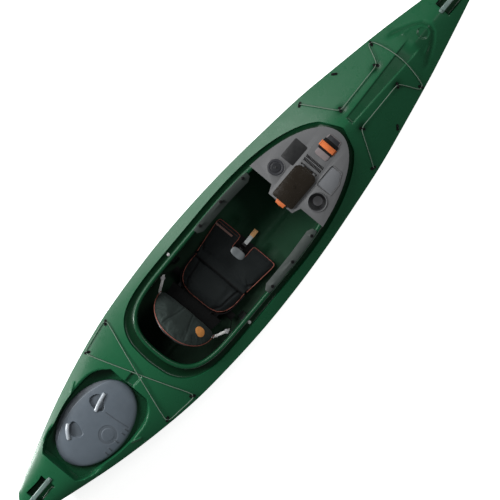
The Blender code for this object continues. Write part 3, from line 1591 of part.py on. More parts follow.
def build_dry_box_lid():
    lid = slope_plate(
        "dry_box_lid", dry_box_length, 2 * dry_box_half, 0.014, dry_box_x, (lid_low_z, lid_top_z)
    )
    hollow = slope_plate(
        "lid_hollow", dry_box_length - 2 * lid_skirt, 2 * (dry_box_half - lid_skirt), 0.010, dry_box_x,
        (lid_low_z - 0.01, lid_under_z)
    )
    boolean(lid, hollow, "DIFFERENCE")
    boss = slope_cylinder(
        "lid_boss", lid_boss_radius, lid_boss_x, 0.0, (lid_top_z - 0.002, lid_top_z + lid_boss_height), 20
    )
    boolean(lid, boss, "UNION")
    web = slope_box(
        "web", (dry_box_front_x - 0.002, hinge_x), (-hinge_half, hinge_half),
        (hinge_z - 0.003, hinge_z + 0.0042)
    )
    boolean(lid, web, "UNION")
    barrel = cylinder("barrel", hinge_barrel, 2 * hinge_half, (along_slope(hinge_x), 0, hinge_z), 14)
    barrel.rotation_euler = (math.pi / 2, 0, 0)
    boolean(lid, barrel, "UNION")
    bore = cylinder(
        "bore", hinge_pin_radius + hinge_pin_clearance, 0.12, (along_slope(hinge_x), 0, hinge_z), 12
    )
    bore.rotation_euler = (math.pi / 2, 0, 0)
    boolean(lid, bore, "DIFFERENCE")
    for side in (-1, 1):
        inner_y = latch_half + side_clearance
        ear = slope_box(
            "ear", (latch_axle_x - 0.004, dry_box_rear_x + 0.003),
            sorted(
                (side * inner_y, side * (inner_y + latch_ear_thick))
            ), (lid_low_z + 0.0015, lid_top_z - 0.001)
        )
        boolean(lid, ear, "UNION")
    hole = cylinder(
        "hole", latch_axle_radius + 0.0004, 0.12, (along_slope(latch_axle_x), 0, latch_axle_z), 10
    )
    hole.rotation_euler = (math.pi / 2, 0, 0)
    boolean(lid, hole, "DIFFERENCE")
    lid = finish(laid_on_slope(lid), "dry_box_lid", smoked_plastic)
    pivot_at(lid, slope @ Vector((along_slope(hinge_x), 0, hinge_z)))

    pin = cylinder("lid_hinge_pin", hinge_pin_radius, 0.090, (along_slope(hinge_x), 0, hinge_z), 12)
    pin.rotation_euler = (math.pi / 2, 0, 0)
    finish(laid_on_slope(pin), "lid_hinge_pin", steel)

    latch = slope_box(
        "lid_latch", (latch_rear_x, latch_axle_x), (-latch_half, latch_half),
        (latch_axle_z - latch_half_thick, latch_axle_z + latch_half_thick)
    )
    barrel = cylinder(
        "barrel", latch_barrel, 2 * latch_half, (along_slope(latch_axle_x), 0, latch_axle_z), 12
    )
    barrel.rotation_euler = (math.pi / 2, 0, 0)
    boolean(latch, barrel, "UNION")
    axle_length = 2 * (latch_half + latch_ear_thick) + 0.0005
    axle = cylinder("axle", latch_axle_radius, axle_length, (along_slope(latch_axle_x), 0, latch_axle_z), 10)
    axle.rotation_euler = (math.pi / 2, 0, 0)
    boolean(latch, axle, "UNION")
    leg = slope_box(
        "leg", (0.2925, console_tongue_x - 0.0008), (-latch_half * 0.8, latch_half * 0.8),
        (-0.004, latch_axle_z)
    )
    boolean(latch, leg, "UNION")
    latch = finish(laid_on_slope(latch), "lid_latch", orange_plastic)
    pivot_at(latch, slope @ Vector((along_slope(latch_axle_x), 0, latch_axle_z)))


build_dry_box_lid()

insert_profile = [
    (0, 0.0105), (0.0055, 0.0105), (0.007, 0.0045), (0.030, 0.0045), (0.036, 0.0095),
    (insert_radius - 0.002, 0.0095),
    (insert_radius, 0.0080), (insert_radius, 0), (0, 0),
]
insert = turned("round_insert", insert_profile, (along_slope(cup_x), insert_y, insert_floor_z + seat_gap), 24)
finish(laid_on_slope(insert), "round_insert", black_plastic)

gear_middle_y = sum(gear_base_sides) / 2
gear_half = (gear_base_sides[0] - gear_base_sides[1]) / 2
gear_low_z = console_top_z + seat_gap
gear_length = gear_base_ends[1] - gear_base_ends[0]
gear_x = sum(gear_base_ends) / 2
gear_base = plate("gear_base", rounded_rectangle(gear_length, 2 * gear_half, 0.012), gear_base_thick,
                  (along_slope(gear_x), gear_middle_y, gear_low_z + gear_base_thick / 2))
bevel(gear_base, 0.0012, 1)
finish(laid_on_slope(gear_base), "gear_base", black_plastic)

strap_low_z = gear_low_z + gear_base_thick + 0.0016
arch = [
    (gear_half + 0.010, console_top_z + 0.0015), (gear_half + 0.004, console_top_z + 0.0020),
    (gear_half + 0.0015, strap_low_z + 0.0008),
    (gear_half - 0.006, strap_low_z + 0.0012), (0.020, strap_low_z + 0.006), (0, strap_low_z + 0.0072),
]
arch = arch + [(-y, z) for y, z in arch[-2::-1]]
gear_strap = plate("gear_strap", strip_outline(arch, 0.0022), gear_strap_width)
gear_strap.rotation_euler = (math.pi / 2, 0, math.pi / 2)
gear_strap.location = (along_slope(gear_strap_x), gear_middle_y, 0)
finish(laid_on_slope(gear_strap), "gear_strap", orange_webbing)


# Hatch: a domed lid with two finger pockets over a gasket on the well's collar
hatch_lid_z = well_floor_z + collar_height + 2 * seat_gap + gasket_thick
pocket_depth = 0.012
pocket_floor_thick = 0.003
pockets = (
    [(-0.146, 0.0545), (-0.114, 0.0977), (-0.071, 0.1112), (-0.060, 0.0707), (-0.0918, -0.0022)],
    [
        (0.0594, 0.0977), (0.0864, 0.1166), (0.1242, 0.1031), (0.1404, 0.0707), (0.081, 0.0032),
        (0.054, 0.0383)
    ],
)


def build_hatch_lid():
    dome = lid_dome + lid_edge_thick
    profile = [
        (0, dome), (0.35, dome - 0.0015), (0.65, dome - 0.0055), (0.88, dome - 0.0125),
        (0.965, lid_edge_thick + 0.002),
        (1, lid_edge_thick - 0.005), (1, -lid_skirt_depth), (0.95, -lid_skirt_depth), (0.94, 0), (0.845, 0),
        (0.84, -0.012),
        (0.82, -0.012), (0.80, 0.008), (0.65, dome - 0.0105), (0.35, dome - 0.0065), (0, dome - 0.005),
    ]
    lid = turned("hatch_lid", profile, steps=36)
    lid.data.transform(Matrix.Diagonal((lid_length / 2, lid_beam / 2, 1, 1)))
    lid.location = (hatch_x, 0, hatch_lid_z)
    for corners in pockets:
        outline = rounded_outline(corners, 0.012, 2)
        middle = np.mean(np.array(outline), axis=0)
        wide = [tuple(middle + (np.array(p) - middle) * 1.16) for p in outline]
        floor_z = dome - 0.003 - pocket_depth
        under = plate(
            "pocket_wall", wide, 0.0100, (hatch_x, 0, hatch_lid_z + floor_z - pocket_floor_thick + 0.0050)
        )
        boolean(lid, under, "UNION")
        hollow = plate("pocket", outline, 0.03, (hatch_x, 0, hatch_lid_z + floor_z + 0.015))
        boolean(lid, hollow, "DIFFERENCE")
    finish(lid, "hatch_lid", slate_plastic)


build_hatch_lid()


def build_gasket():
    low_z = well_floor_z + collar_height + seat_gap
    inner_share = collar_share - 2 * collar_wall / lid_length
    section = [(collar_share, gasket_thick), (collar_share, 0), (inner_share, 0), (inner_share, gasket_thick)]
    gasket = turned("hatch_gasket", section + section[:1], (hatch_x, 0, low_z), 36)
    gasket.data.transform(Matrix.Diagonal((lid_length / 2, lid_beam / 2, 1, 1)))
    finish(gasket, "hatch_gasket", black_rubber)


build_gasket()


# Foot braces: a notched rail on each inner side and a pedal that slides along it
carriage_length = 0.046
boss_radius = 0.0075


def build_foot_brace(side, name):
    ends = [foot_rail_x - foot_rail_length / 2 + 0.02, foot_rail_x + foot_rail_length / 2 - 0.02]
    walls = []
    for x in ends:
        near = [
            side_inside(x + dx, foot_rail_z + dz, side)
            for dx in (-0.008, 0, 0.008) for dz in (-0.008, 0, 0.008)
        ]
        walls.append(min(abs(y) for y in near))
    rail_ys = [side * (wall - foot_rail_standoff - foot_rail_thick / 2) for wall in walls]
    heading = math.atan2(rail_ys[1] - rail_ys[0], ends[1] - ends[0])
    frame = Matrix.Translation(
        (foot_rail_x, sum(rail_ys) / 2, foot_rail_z)
    ) @ Matrix.Rotation(heading, 4, "Z")
    half = foot_rail_length / 2
    top = foot_rail_depth / 2
    outline = [(-half, -top), (half, -top), (half, top)]
    notches = 12
    pitch = (foot_rail_length - 0.06) / notches
    for k in range(notches):
        right = half - 0.03 - k * pitch
        outline += [
            (right, top), (right - 0.005, top - 0.005), (right - pitch * 0.5, top - 0.005),
            (right - pitch * 0.5 - 0.005, top)
        ]
    outline.append((-half, top))
    rail = plate("foot_rail", outline, foot_rail_thick)
    rail.rotation_euler = (math.pi / 2, 0, 0)
    bpy.context.view_layer.update()
    rail = to_mesh(rail)
    outward = frame.to_3x3() @ Vector((0, side, 0))
    rim = [
        (boss_radius * math.cos(t), boss_radius * math.sin(t))
        for t in np.linspace(0, 2 * math.pi, 15)[:-1]
    ]
    for place in (half - 0.02, 0.02 - half):
        starts = [frame @ Vector((place + dx, 0, dz)) for dx, dz in rim]
        reach = min((skin_hit(start, outward)[0] - start).length for start in starts) - seat_gap
        boss = cylinder("boss", boss_radius, reach, (place, side * reach / 2, 0), 14)
        boss.rotation_euler = (math.pi / 2, 0, 0)
        boolean(rail, boss, "UNION")
    finish(moved(rail, frame), f"foot_rail_{name}", black_plastic)

    gap = 0.0007
    inboard = -side
    carriage = box("foot_pedal", (carriage_length, foot_rail_thick + 0.010, foot_rail_depth + 0.010),
                   (0, inboard * 0.001, 0))
    slot = box("slot", (0.2, foot_rail_thick + 2 * gap, foot_rail_depth + 2 * gap), (0, 0, 0))
    outer_slot = box("outer_slot", (0.2, 0.02, foot_rail_depth * 0.5), (0, side * 0.01, 0))
    pad = plate("pad", rounded_rectangle(pedal_height, pedal_width, 0.012, 3), pedal_thick)
    pad.rotation_euler = (0, math.pi / 2, 0)
    pad.location = (
        carriage_length / 2 - pedal_thick / 2,
        inboard * (foot_rail_thick / 2 + 0.005 + pedal_width / 2 - 0.004), 0.006
    )
    boolean(carriage, pad, "UNION")
    boolean(carriage, slot, "DIFFERENCE")
    boolean(carriage, outer_slot, "DIFFERENCE")
    finish(moved(carriage, frame), f"foot_pedal_{name}", black_plastic)


for side, name in ((1, "port"), (-1, "starboard")):
    build_foot_brace(side, name)


# A section of the hull's inside at one station, as a closed ring.
def inner_section(x, inset):
    row = min(hull_body, key=lambda r: abs(r[0][0] - x))
    half = np.array([(p[1], p[2]) for p in row])
    ring = np.concatenate([half, np.column_stack([-half[-2:0:-1, 0], half[-2:0:-1, 1]])])
    ahead = np.roll(ring, -1, axis=0) - ring
    ahead /= np.linalg.norm(ahead, axis=1)[:, None]
    outward = np.column_stack([ahead[:, 1], -ahead[:, 0]])
    behind = np.roll(outward, 1, axis=0)
    mitre = outward + behind
    mitre /= (1 + (outward * behind).sum(axis=1))[:, None]
    inside = ring - mitre * inset
    return [(row[0][0], y, z) for y, z in inside]


bulkhead_inset = hull_wall / math.cos(math.radians(10)) + bulkhead_gap
bulkhead = loft(
    "stern_bulkhead",
    [inner_section(bulkhead_rear_x, bulkhead_inset), inner_section(bulkhead_front_x, bulkhead_inset)]
)
finish(bulkhead, "stern_bulkhead", grey_foam)


skid_rear_x = -1.66
skid_front_x = -1.38
skid_gap = 0.0008
skid_thick = 0.0028


# Skid plate: a thin shoe that follows the hull's facets under the stern
def build_skid_plate():
    rows = np.array([row[:3] for row in hull_body if skid_rear_x < row[0][0] < skid_front_x])
    along = np.gradient(rows, axis=0)
    across = np.gradient(rows, axis=1)
    normal = np.cross(along, across)
    normal /= np.linalg.norm(normal, axis=2)[:, :, None]
    normal[normal[:, :, 2] > 0] *= -1
    normal[:, 0, 1] = 0.0
    normal /= np.linalg.norm(normal, axis=2)[:, :, None]
    near = rows + normal * skid_gap
    far = rows + normal * (skid_gap + skid_thick)
    rings = []
    for low, high in zip(far, near):
        half = [tuple(p) for p in low]
        other = [(x, -y, z) for x, y, z in half[:0:-1]]
        upper = [tuple(p) for p in high]
        upper_other = [(x, -y, z) for x, y, z in upper[:0:-1]]
        rings.append(other + half + upper[::-1] + upper_other[::-1])
    finish(loft("skid_plate", rings), "skid_plate", black_plastic)


build_skid_plate()


drain_x = -1.70
drain_z = 0.165


# Drain plug: a round cap that screws into the stern's port side
def build_drain_plug():
    place, normal = skin_hit(Vector((drain_x, 1.0, drain_z)), Vector((0, -1, 0)))
    turn = Vector((0, 0, 1)).rotation_difference(normal).to_matrix().to_4x4()
    profile = [
        (0, 0.0045), (0.006, 0.0045), (0.0065, 0.0065), (0.011, 0.0065), (0.012, 0.0050), (0.012, 0), (0, 0)
    ]
    plug = turned("drain_plug", profile, steps=20)
    plug.matrix_world = Matrix.Translation(place + normal * 0.0010) @ turn
    finish(plug, "drain_plug", black_plastic)


build_drain_plug()
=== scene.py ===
import math

import bmesh
import bpy
import numpy as np
from mathutils import Matrix, Vector
from mathutils.bvhtree import BVHTree


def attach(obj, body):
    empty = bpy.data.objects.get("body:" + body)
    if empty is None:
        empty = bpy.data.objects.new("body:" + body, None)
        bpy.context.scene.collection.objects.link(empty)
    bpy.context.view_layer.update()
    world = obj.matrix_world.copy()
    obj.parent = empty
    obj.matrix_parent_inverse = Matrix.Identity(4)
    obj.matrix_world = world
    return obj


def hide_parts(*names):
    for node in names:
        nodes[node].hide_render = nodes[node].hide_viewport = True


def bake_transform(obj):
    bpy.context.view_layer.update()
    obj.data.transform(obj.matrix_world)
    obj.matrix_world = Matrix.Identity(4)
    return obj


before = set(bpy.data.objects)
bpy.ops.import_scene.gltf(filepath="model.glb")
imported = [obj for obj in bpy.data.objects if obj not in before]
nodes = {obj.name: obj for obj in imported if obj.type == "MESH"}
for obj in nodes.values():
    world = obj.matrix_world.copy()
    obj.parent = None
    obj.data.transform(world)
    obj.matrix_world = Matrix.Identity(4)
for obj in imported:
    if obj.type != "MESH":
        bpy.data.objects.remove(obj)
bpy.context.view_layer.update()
print("frame loaded")


# shader maths: a socket that adds its own Math nodes when it stands in a sum
class Wire:
    def __init__(self, paint, socket):
        self.paint = paint
        self.socket = socket

    def maths(self, operation, *values):
        return self.paint.node("Math", {"operation": operation}, dict(enumerate(values)))

    def __add__(self, other):
        return self.maths("ADD", self, other)

    def __sub__(self, other):
        return self.maths("SUBTRACT", self, other)

    def __rsub__(self, other):
        return self.maths("SUBTRACT", other, self)

    def __mul__(self, other):
        return self.maths("MULTIPLY", self, other)

    def __gt__(self, other):
        return self.maths("GREATER_THAN", self, other)


class Paint:
    def __init__(self, name):
        self.material = bpy.data.materials.new(name)
        self.material.use_nodes = True
        self.tree = self.material.node_tree
        self.shader = self.tree.nodes["Principled BSDF"]

    def node(self, kind, settings={}, sockets={}, out=0):
        made = self.tree.nodes.new("ShaderNode" + kind)
        for name, value in settings.items():
            setattr(made, name, value)
        for name, value in sockets.items():
            if isinstance(value, Wire):
                self.tree.links.new(value.socket, made.inputs[name])
            else:
                made.inputs[name].default_value = value
        return Wire(self, made.outputs[out])

    def place(self, stretch=(1, 1, 1), turn=0.0):
        coordinates = self.node("TexCoord", out=3)
        return self.node("Mapping", {}, {"Vector": coordinates, "Scale": stretch, "Rotation": (0, 0, turn)})

    def axis(self, name):
        return self.node("SeparateXYZ", {}, {0: self.node("TexCoord", out=3)}, out="XYZ".index(name))

    def mark(self, name):
        return self.node("Attribute", {"attribute_name": name}, out=2)

    def noise(self, scale, detail=3.0, roughness=0.5, at=None):
        sockets = {"Vector": at or self.place(), "Scale": scale, "Detail": detail, "Roughness": roughness}
        return self.node("TexNoise", {}, sockets)

    def between(self, value, low, high, start=0.0, end=1.0):
        sockets = {0: value, 1: low, 2: high, 3: start, 4: end}
        return self.node("MapRange", {"clamp": True}, sockets)

    def mix(self, share, first, second):
        pair = [c if isinstance(c, Wire) else (*c, 1.0) for c in (first, second)]
        return self.node("Mix", {"data_type": "RGBA"}, {0: share, 6: pair[0], 7: pair[1]}, out=2)

    def bump(self, height, distance, strength=1.0, over=None):
        sockets = {"Height": height, "Distance": distance, "Strength": strength}
        if over:
            sockets["Normal"] = over
        return self.node("Bump", {}, sockets)

    def finish(self, **values):
        for name, value in values.items():
            socket = self.shader.inputs[name.replace("_", " ")]
            if isinstance(value, Wire):
                self.tree.links.new(value.socket, socket)
            elif isinstance(value, tuple):
                socket.default_value = (*value, 1.0)
            else:
                socket.default_value = value
        return self.material


def shade(colour, factor):
    return tuple(min(c * factor, 1.0) for c in colour)


# the hull's finish: colours from the outside in, with a painted shade for its recesses and a painted shade
# and light for its inside, and how glossy, cloudy and scuffed it is
hullFinish = {
    "green": (0.0082, 0.071, 0.0295), "recess": (0.0008, 0.0165, 0.0052), "scuff": (0.10, 0.16, 0.12),
    "insideDeep": (0.0012, 0.0150, 0.0050), "insideWorn": (0.0060, 0.042, 0.018),
    "gloss": 0.28, "cloud": 1.12, "coat": 0.08, "bends": 1.30,
}


def makeHullPlastic():
    paint = Paint("hullPlastic")
    cloud = paint.noise(2.2, 3.0)
    grain = paint.noise(900.0, 1.0)
    green, gloss = hullFinish["green"], hullFinish["gloss"]
    colour = paint.mix(cloud, shade(green, 0.92), shade(green, hullFinish["cloud"]))
    # painted shade in the recesses: each point keeps a share of shade, mostly from its depth below the deck,
    # that paints the colour towards the recess shade colour; the open deck is a little hazed
    sunk = paint.mark("sunk")
    colour = paint.mix(sunk, colour, hullFinish["recess"])
    # long fine scratches where the hull is dragged over the ground
    streaks = paint.noise(1.0, 2.0, 0.6, paint.place((3.0, 260.0, 30.0)))
    low = paint.between(paint.axis("Z"), 0.02, 0.11, 1.0, 0.0)
    scratch = (streaks > 0.66) * low * paint.between(paint.noise(9.0), 0.45, 0.62)
    colour = paint.mix(scratch * 0.45, colour, hullFinish["scuff"])
    roughness = paint.between(paint.noise(14.0, 4.0), 0.3, 0.7, gloss - 0.03, gloss + 0.06)
    fine = paint.bump(grain, 0.00012, 0.25)
    wave = paint.bump(paint.noise(38.0, 2.0), 0.0012, 0.10, fine)
    return paint.finish(
        Base_Color=colour, Roughness=roughness + scratch * 0.25 - sunk * 0.04, Normal=wave,
        IOR=hullFinish["bends"], Coat_Weight=(1.0 - sunk) * hullFinish["coat"], Coat_Roughness=0.12
    )


def makeMoulded(name, colour, roughness, grain=1400.0, depth=0.00012, fleck=0.0, dark=None, shine=0.5):
    paint = Paint(name)
    cloud = paint.noise(18.0, 3.0)
    base = paint.mix(cloud, shade(colour, 0.90), shade(colour, 1.12))
    if fleck:
        flecks = paint.between(paint.noise(3200.0, 0.0), 0.62, 0.72, 0.0, fleck)
        base = paint.mix(flecks, base, shade(colour, 2.2))
    # the mesh's "dark" share paints the colour darker: on the lid a painted shade and shadow, and its darker
    # marks
    if dark:
        marked = paint.mark(dark)
        base = paint.mix(marked, base, shade(colour, 0.28))
        roughness = marked * 0.35 + roughness
    pits = paint.node("TexVoronoi", {"feature": "F1"}, {"Vector": paint.place(), "Scale": grain})
    rough = paint.between(paint.noise(45.0, 4.0), 0.3, 0.7, roughness - 0.06, roughness + 0.07)
    normal = paint.bump(pits, depth, 0.5)
    return paint.finish(Base_Color=base, Roughness=rough, Normal=normal, IOR=1.48, Specular_IOR_Level=shine)


# woven cloth: two sets of rounded threads, one over the other in a checker
def makeWeave(name, colour, pitch, depth=0.0003, roughness=0.85, sheen=0.15, turn=0.0, dark=None):
    paint = Paint(name)
    at = paint.place((1, 1, 1), turn)
    scaled = {"Vector": at, "Scale": 0.31 / pitch}
    bands = [{"wave_type": "BANDS", "bands_direction": way} for way in "XY"]
    across, along = [paint.node("TexWave", band, scaled) for band in bands]
    checker = paint.node("TexChecker", {}, {"Vector": at, "Scale": 1.0 / pitch}, out=1)
    thread = across * checker + along * (1.0 - checker)
    worn = paint.noise(24.0, 4.0)
    base = paint.mix(thread, shade(colour, 0.62), shade(colour, 1.22))
    base = paint.mix(worn * 0.35, base, shade(colour, 1.5))
    # painted shade where the mesh's "dark" share marks it
    if dark:
        base = paint.mix(paint.mark(dark), base, shade(colour, 0.12))
    rough = paint.between(worn, 0.3, 0.7, roughness - 0.06, roughness + 0.06)
    normal = paint.bump(thread, depth, 0.6)
    return paint.finish(
        Base_Color=base, Roughness=rough, Normal=normal, Sheen_Weight=sheen, Specular_IOR_Level=0.18
    )


def makeMetal(name, colour, roughness):
    paint = Paint(name)
    brushed = paint.noise(1.0, 3.0, 0.6, paint.place((60.0, 900.0, 900.0)))
    base = paint.mix(brushed, shade(colour, 0.85), shade(colour, 1.1))
    rough = paint.between(paint.noise(30.0), 0.3, 0.7, roughness - 0.05, roughness + 0.1)
    normal = paint.bump(brushed, 0.00005, 0.3)
    return paint.finish(Base_Color=base, Roughness=rough, Metallic=1.0, Normal=normal)


# the hull's inside: deep green, with painted shade aft in the cockpit and painted light from the seat
# forward, where light reaches the floor
def makeHullInside():
    paint = Paint("hullInside")
    grain = paint.noise(320.0, 2.0)
    litAhead = paint.between(paint.axis("X") + (paint.noise(5.0, 3.0) - 0.5) * 0.2, -0.20, 0.16)
    colour = paint.mix(litAhead, hullFinish["insideDeep"], hullFinish["insideWorn"])
    rough = paint.between(paint.noise(22.0, 4.0), 0.3, 0.7, 0.58, 0.72)
    return paint.finish(
        Base_Color=colour, Roughness=rough, Normal=paint.bump(grain, 0.0004, 0.5), Specular_IOR_Level=0.2
    )


hullPlastic = makeHullPlastic()
hullInside = makeHullInside()
blackPlastic = makeMoulded("blackPlastic", (0.012, 0.0125, 0.013), 0.42)
bracePlastic = makeMoulded("bracePlastic", (0.019, 0.026, 0.023), 0.58, shine=0.3)
screwBlack = makeMoulded("screwBlack", (0.0025, 0.0025, 0.0025), 0.7, shine=0.15)
lidPlastic = makeMoulded("lidPlastic", (0.070, 0.087, 0.105), 0.42, 900.0, 0.0001, 0.0, "dark")
cupPale = makeMoulded("cupPale", (0.55, 0.55, 0.57), 0.6, 600.0, 0.0001)
# a paler, glossier copy of the lid's slate plastic for its grips: painted highlight
gripGloss = makeMoulded("gripGloss", (0.30, 0.33, 0.36), 0.22, 900.0, 0.00005)
consolePlastic = makeMoulded("consolePlastic", (0.088, 0.090, 0.093), 0.55, 1100.0, 0.0002)
handlePlastic = makeMoulded("handlePlastic", (0.100, 0.150, 0.135), 0.38)
panelDark = makeMoulded("panelDark", (0.015, 0.016, 0.0185), 0.34, 900.0, 0.00004)
smokedPlastic = makeMoulded("smokedPlastic", (0.0135, 0.0105, 0.0075), 0.24, 400.0, 0.00004, shine=0.28)
orangePlastic = makeMoulded("orangePlastic", (0.42, 0.105, 0.028), 0.40)
cordBraid = makeWeave("cordBraid", (0.105, 0.150, 0.115), 0.0011, 0.0003, 0.75, 0.05, 0.785)
orangeWeb = makeWeave("orangeWeb", (0.50, 0.125, 0.035), 0.0016)
greyWeb = makeWeave("greyWeb", (0.52, 0.55, 0.55), 0.0016)
seatCloth = makeWeave("seatCloth", (0.0080, 0.0108, 0.0112), 0.0022, 0.0004, 0.80, 0.02, 0.785, "dark")
padCloth = makeWeave("padCloth", (0.024, 0.034, 0.031), 0.0022, 0.0004, 0.78, 0.03, 0.785)
# near-black cloth for the back skirt and the straps' lower runs: painted shade
skirtCloth = makeWeave("skirtCloth", (0.0022, 0.0025, 0.0025), 0.0022, 0.0004, 0.9, 0.0)
pipingCord = makeWeave("pipingCord", (0.19, 0.062, 0.045), 0.0014, 0.0002, 0.8, 0.05, 0.785)
tapeWeb = makeWeave("tapeWeb", (0.20, 0.12, 0.105), 0.0014)
seamCord = makeWeave("seamCord", (0.006, 0.007, 0.007), 0.0011, 0.0002, 0.85, 0.02)
orangePatch = makeWeave("orangePatch", (0.62, 0.26, 0.07), 0.0012, 0.0002, 0.8, 0.05)
gripPlastic = makeMoulded("gripPlastic", (0.070, 0.080, 0.084), 0.5)
# the tab's webbing brightened to full colour: partly its own tan, partly painted light for the cockpit's
# shade
tabWeb = makeWeave("tabWeb", (1.0, 0.46, 0.20), 0.0016)
consoleDark = makeMoulded("consoleDark", (0.058, 0.060, 0.063), 0.5, 1100.0, 0.0002)
insertPlastic = makeMoulded("insertPlastic", (0.021, 0.022, 0.026), 0.55, shine=0.3)
trayPlastic = makeMoulded("trayPlastic", (0.115, 0.120, 0.128), 0.34, 700.0, 0.00006)
gearPale = makeMoulded("gearPale", (0.14, 0.118, 0.120), 0.42)
# a lighter copy of the grey webbing for the backrest straps: painted light where the coaming's shade falls
paleWeb = makeWeave("paleWeb", (0.82, 0.84, 0.80), 0.0016, 0.0003, 0.8, 0.1)
foam = makeMoulded("foam", (0.050, 0.052, 0.054), 0.92, 260.0, 0.0008, 0.4)
rubber = makeMoulded("rubber", (0.012, 0.012, 0.012), 0.75)
boltSteel = makeMetal("boltSteel", (0.92, 0.93, 0.92), 0.45)
railMetal = makeMetal("railMetal", (0.085, 0.088, 0.092), 0.35)

carried = {
    hullPlastic: ["hull_shell"],
    lidPlastic: ["hatch_lid"],
    consolePlastic: ["console"],
    handlePlastic: ["bow_handle", "stern_handle"],
    smokedPlastic: ["dry_box_lid"],
    orangePlastic: ["lid_latch"],
    tabWeb: ["strap_tab"],
    gripPlastic: ["slide_lever"],
    orangeWeb: ["gear_strap"],
    greyWeb: ["lifter_strap", "backrest_strap"],
    cordBraid: ["bow_bungee", "stern_bungee"],
    seatCloth: ["seat_cushion"],
    padCloth: ["backrest_pad"],
    foam: ["bulkhead"],
    rubber: ["gasket"],
    boltSteel: ["seat_bolt"],
    screwBlack: ["seat_lifter", "lid_hinge_pin", "bow_anchor", "stern_anchor", "pad_eye"],
    railMetal: ["seat_track", "seat_bracket", "foot_rail"],
    bracePlastic: ["thigh_brace"],
}
for name, node in nodes.items():
    chosen = blackPlastic
    for paint, starts in carried.items():
        if any(name.startswith(start) for start in starts):
            chosen = paint
    node.data.materials.clear()
    node.data.materials.append(chosen)
print("finishes made")


# the record's material slot behind each finish
finishSlots = {
    "green_shell": [hullPlastic, hullInside],
    "black_plastic": [blackPlastic, bracePlastic, screwBlack],
    "slate_plastic": [lidPlastic, gripGloss, insertPlastic],
    "grey_plastic": [consolePlastic, consoleDark, panelDark],
    "pale_grey_plastic": [trayPlastic, gearPale, cupPale, gripPlastic, handlePlastic],
    "smoked_plastic": [smokedPlastic],
    "orange_plastic": [orangePlastic],
    "orange_webbing": [orangeWeb, tabWeb, orangePatch, pipingCord, tapeWeb],
    "black_fabric": [seatCloth, padCloth, skirtCloth, seamCord],
    "grey_webbing": [greyWeb, paleWeb],
    "black_cord": [cordBraid],
}
slotOf = {paint.name: slot for slot, paints in finishSlots.items() for paint in paints}


def fromMesh(name, mesh, paint, body="hull", smoothAngle=40):
    piece = looseObject(name, mesh)
    if paint:
        mesh.materials.clear()
        mesh.materials.append(paint)
    mesh.shade_smooth()
    mesh.set_sharp_from_angle(angle=math.radians(smoothAngle))
    paint and paint.name in slotOf
    if body:
        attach(piece, body)
    return piece


# quads over a rows-by-columns table of points; a closed direction joins its last line to its first
def gridFaces(rows, columns, closedRows=False, closedColumns=False, start=0):
    i = np.arange(rows if closedRows else rows - 1)[:, None]
    j = np.arange(columns if closedColumns else columns - 1)[None, :]
    a = i * columns + j
    b = i * columns + (j + 1) % columns
    c = ((i + 1) % rows) * columns + (j + 1) % columns
    d = ((i + 1) % rows) * columns + j
    return start + np.stack([a + 0 * b, b, c, d + 0 * a], axis=-1).reshape(-1, 4)


# the same with its two ends closed
def tubeFaces(rows, columns):
    ends = [list(range(columns))[::-1], list(range((rows - 1) * columns, rows * columns))]
    return gridFaces(rows, columns, closedColumns=True).tolist() + ends


def cleaned(mesh, merge=0.00002, recalc=True):
    work = bmesh.new()
    work.from_mesh(mesh)
    bmesh.ops.remove_doubles(work, verts=work.verts, dist=merge)
    bmesh.ops.dissolve_degenerate(work, edges=work.edges, dist=0.000005)
    if recalc:
        bmesh.ops.recalc_face_normals(work, faces=work.faces)
    work.to_mesh(mesh)
    work.free()
    return mesh


# the mesh of an object with its modifiers worked in, the object itself gone
def settled(piece):
    bpy.context.view_layer.update()
    mesh = bpy.data.meshes.new_from_object(piece.evaluated_get(bpy.context.evaluated_depsgraph_get()))
    bpy.data.objects.remove(piece, do_unlink=True)
    return mesh


def looseObject(name, mesh):
    piece = bpy.data.objects.new(name, mesh)
    bpy.context.scene.collection.objects.link(piece)
    return piece


def meshOf(name, places, faces):
    mesh = bpy.data.meshes.new(name)
    mesh.from_pydata(np.asarray(places).reshape(-1, 3), [], faces)
    return mesh


# a share from 0 to 1 kept on every point, for a finish to read
def keepMark(mesh, name, values):
    mesh.attributes.new(name, "FLOAT", "POINT").data.foreach_set("value", np.clip(values, 0, 1).ravel())


# a mesh over a rows-by-columns table of points, with a "dark" share where one is given
def gridMesh(name, grid, closedColumns=False, merge=0.00002, dark=None):
    mesh = meshOf(name, grid, gridFaces(*grid.shape[:2], closedColumns=closedColumns).tolist())
    if dark is not None:
        keepMark(mesh, "dark", dark)
    return cleaned(mesh, merge)


# a mesh put through one modifier
def modified(mesh, kind, **settings):
    piece = looseObject(mesh.name, mesh)
    modifier = piece.modifiers.new(kind.lower(), kind)
    for name, value in settings.items():
        setattr(modifier, name, value)
    return settled(piece)


def thickened(mesh, thickness):
    return modified(mesh, "SOLIDIFY", thickness=thickness, offset=0.0)


def readPlaces(mesh):
    places = np.empty(len(mesh.vertices) * 3)
    mesh.vertices.foreach_get("co", places)
    return places.reshape(-1, 3)


def readNormals(mesh):
    normals = np.empty(len(mesh.vertices) * 3)
    mesh.vertices.foreach_get("normal", normals)
    return normals.reshape(-1, 3)


def writePlaces(mesh, places):
    mesh.vertices.foreach_set("co", np.asarray(places, dtype=float).ravel())
    mesh.update()


def ease(t):
    t = np.clip(t, 0, 1)
    return t * t * (3 - 2 * t)


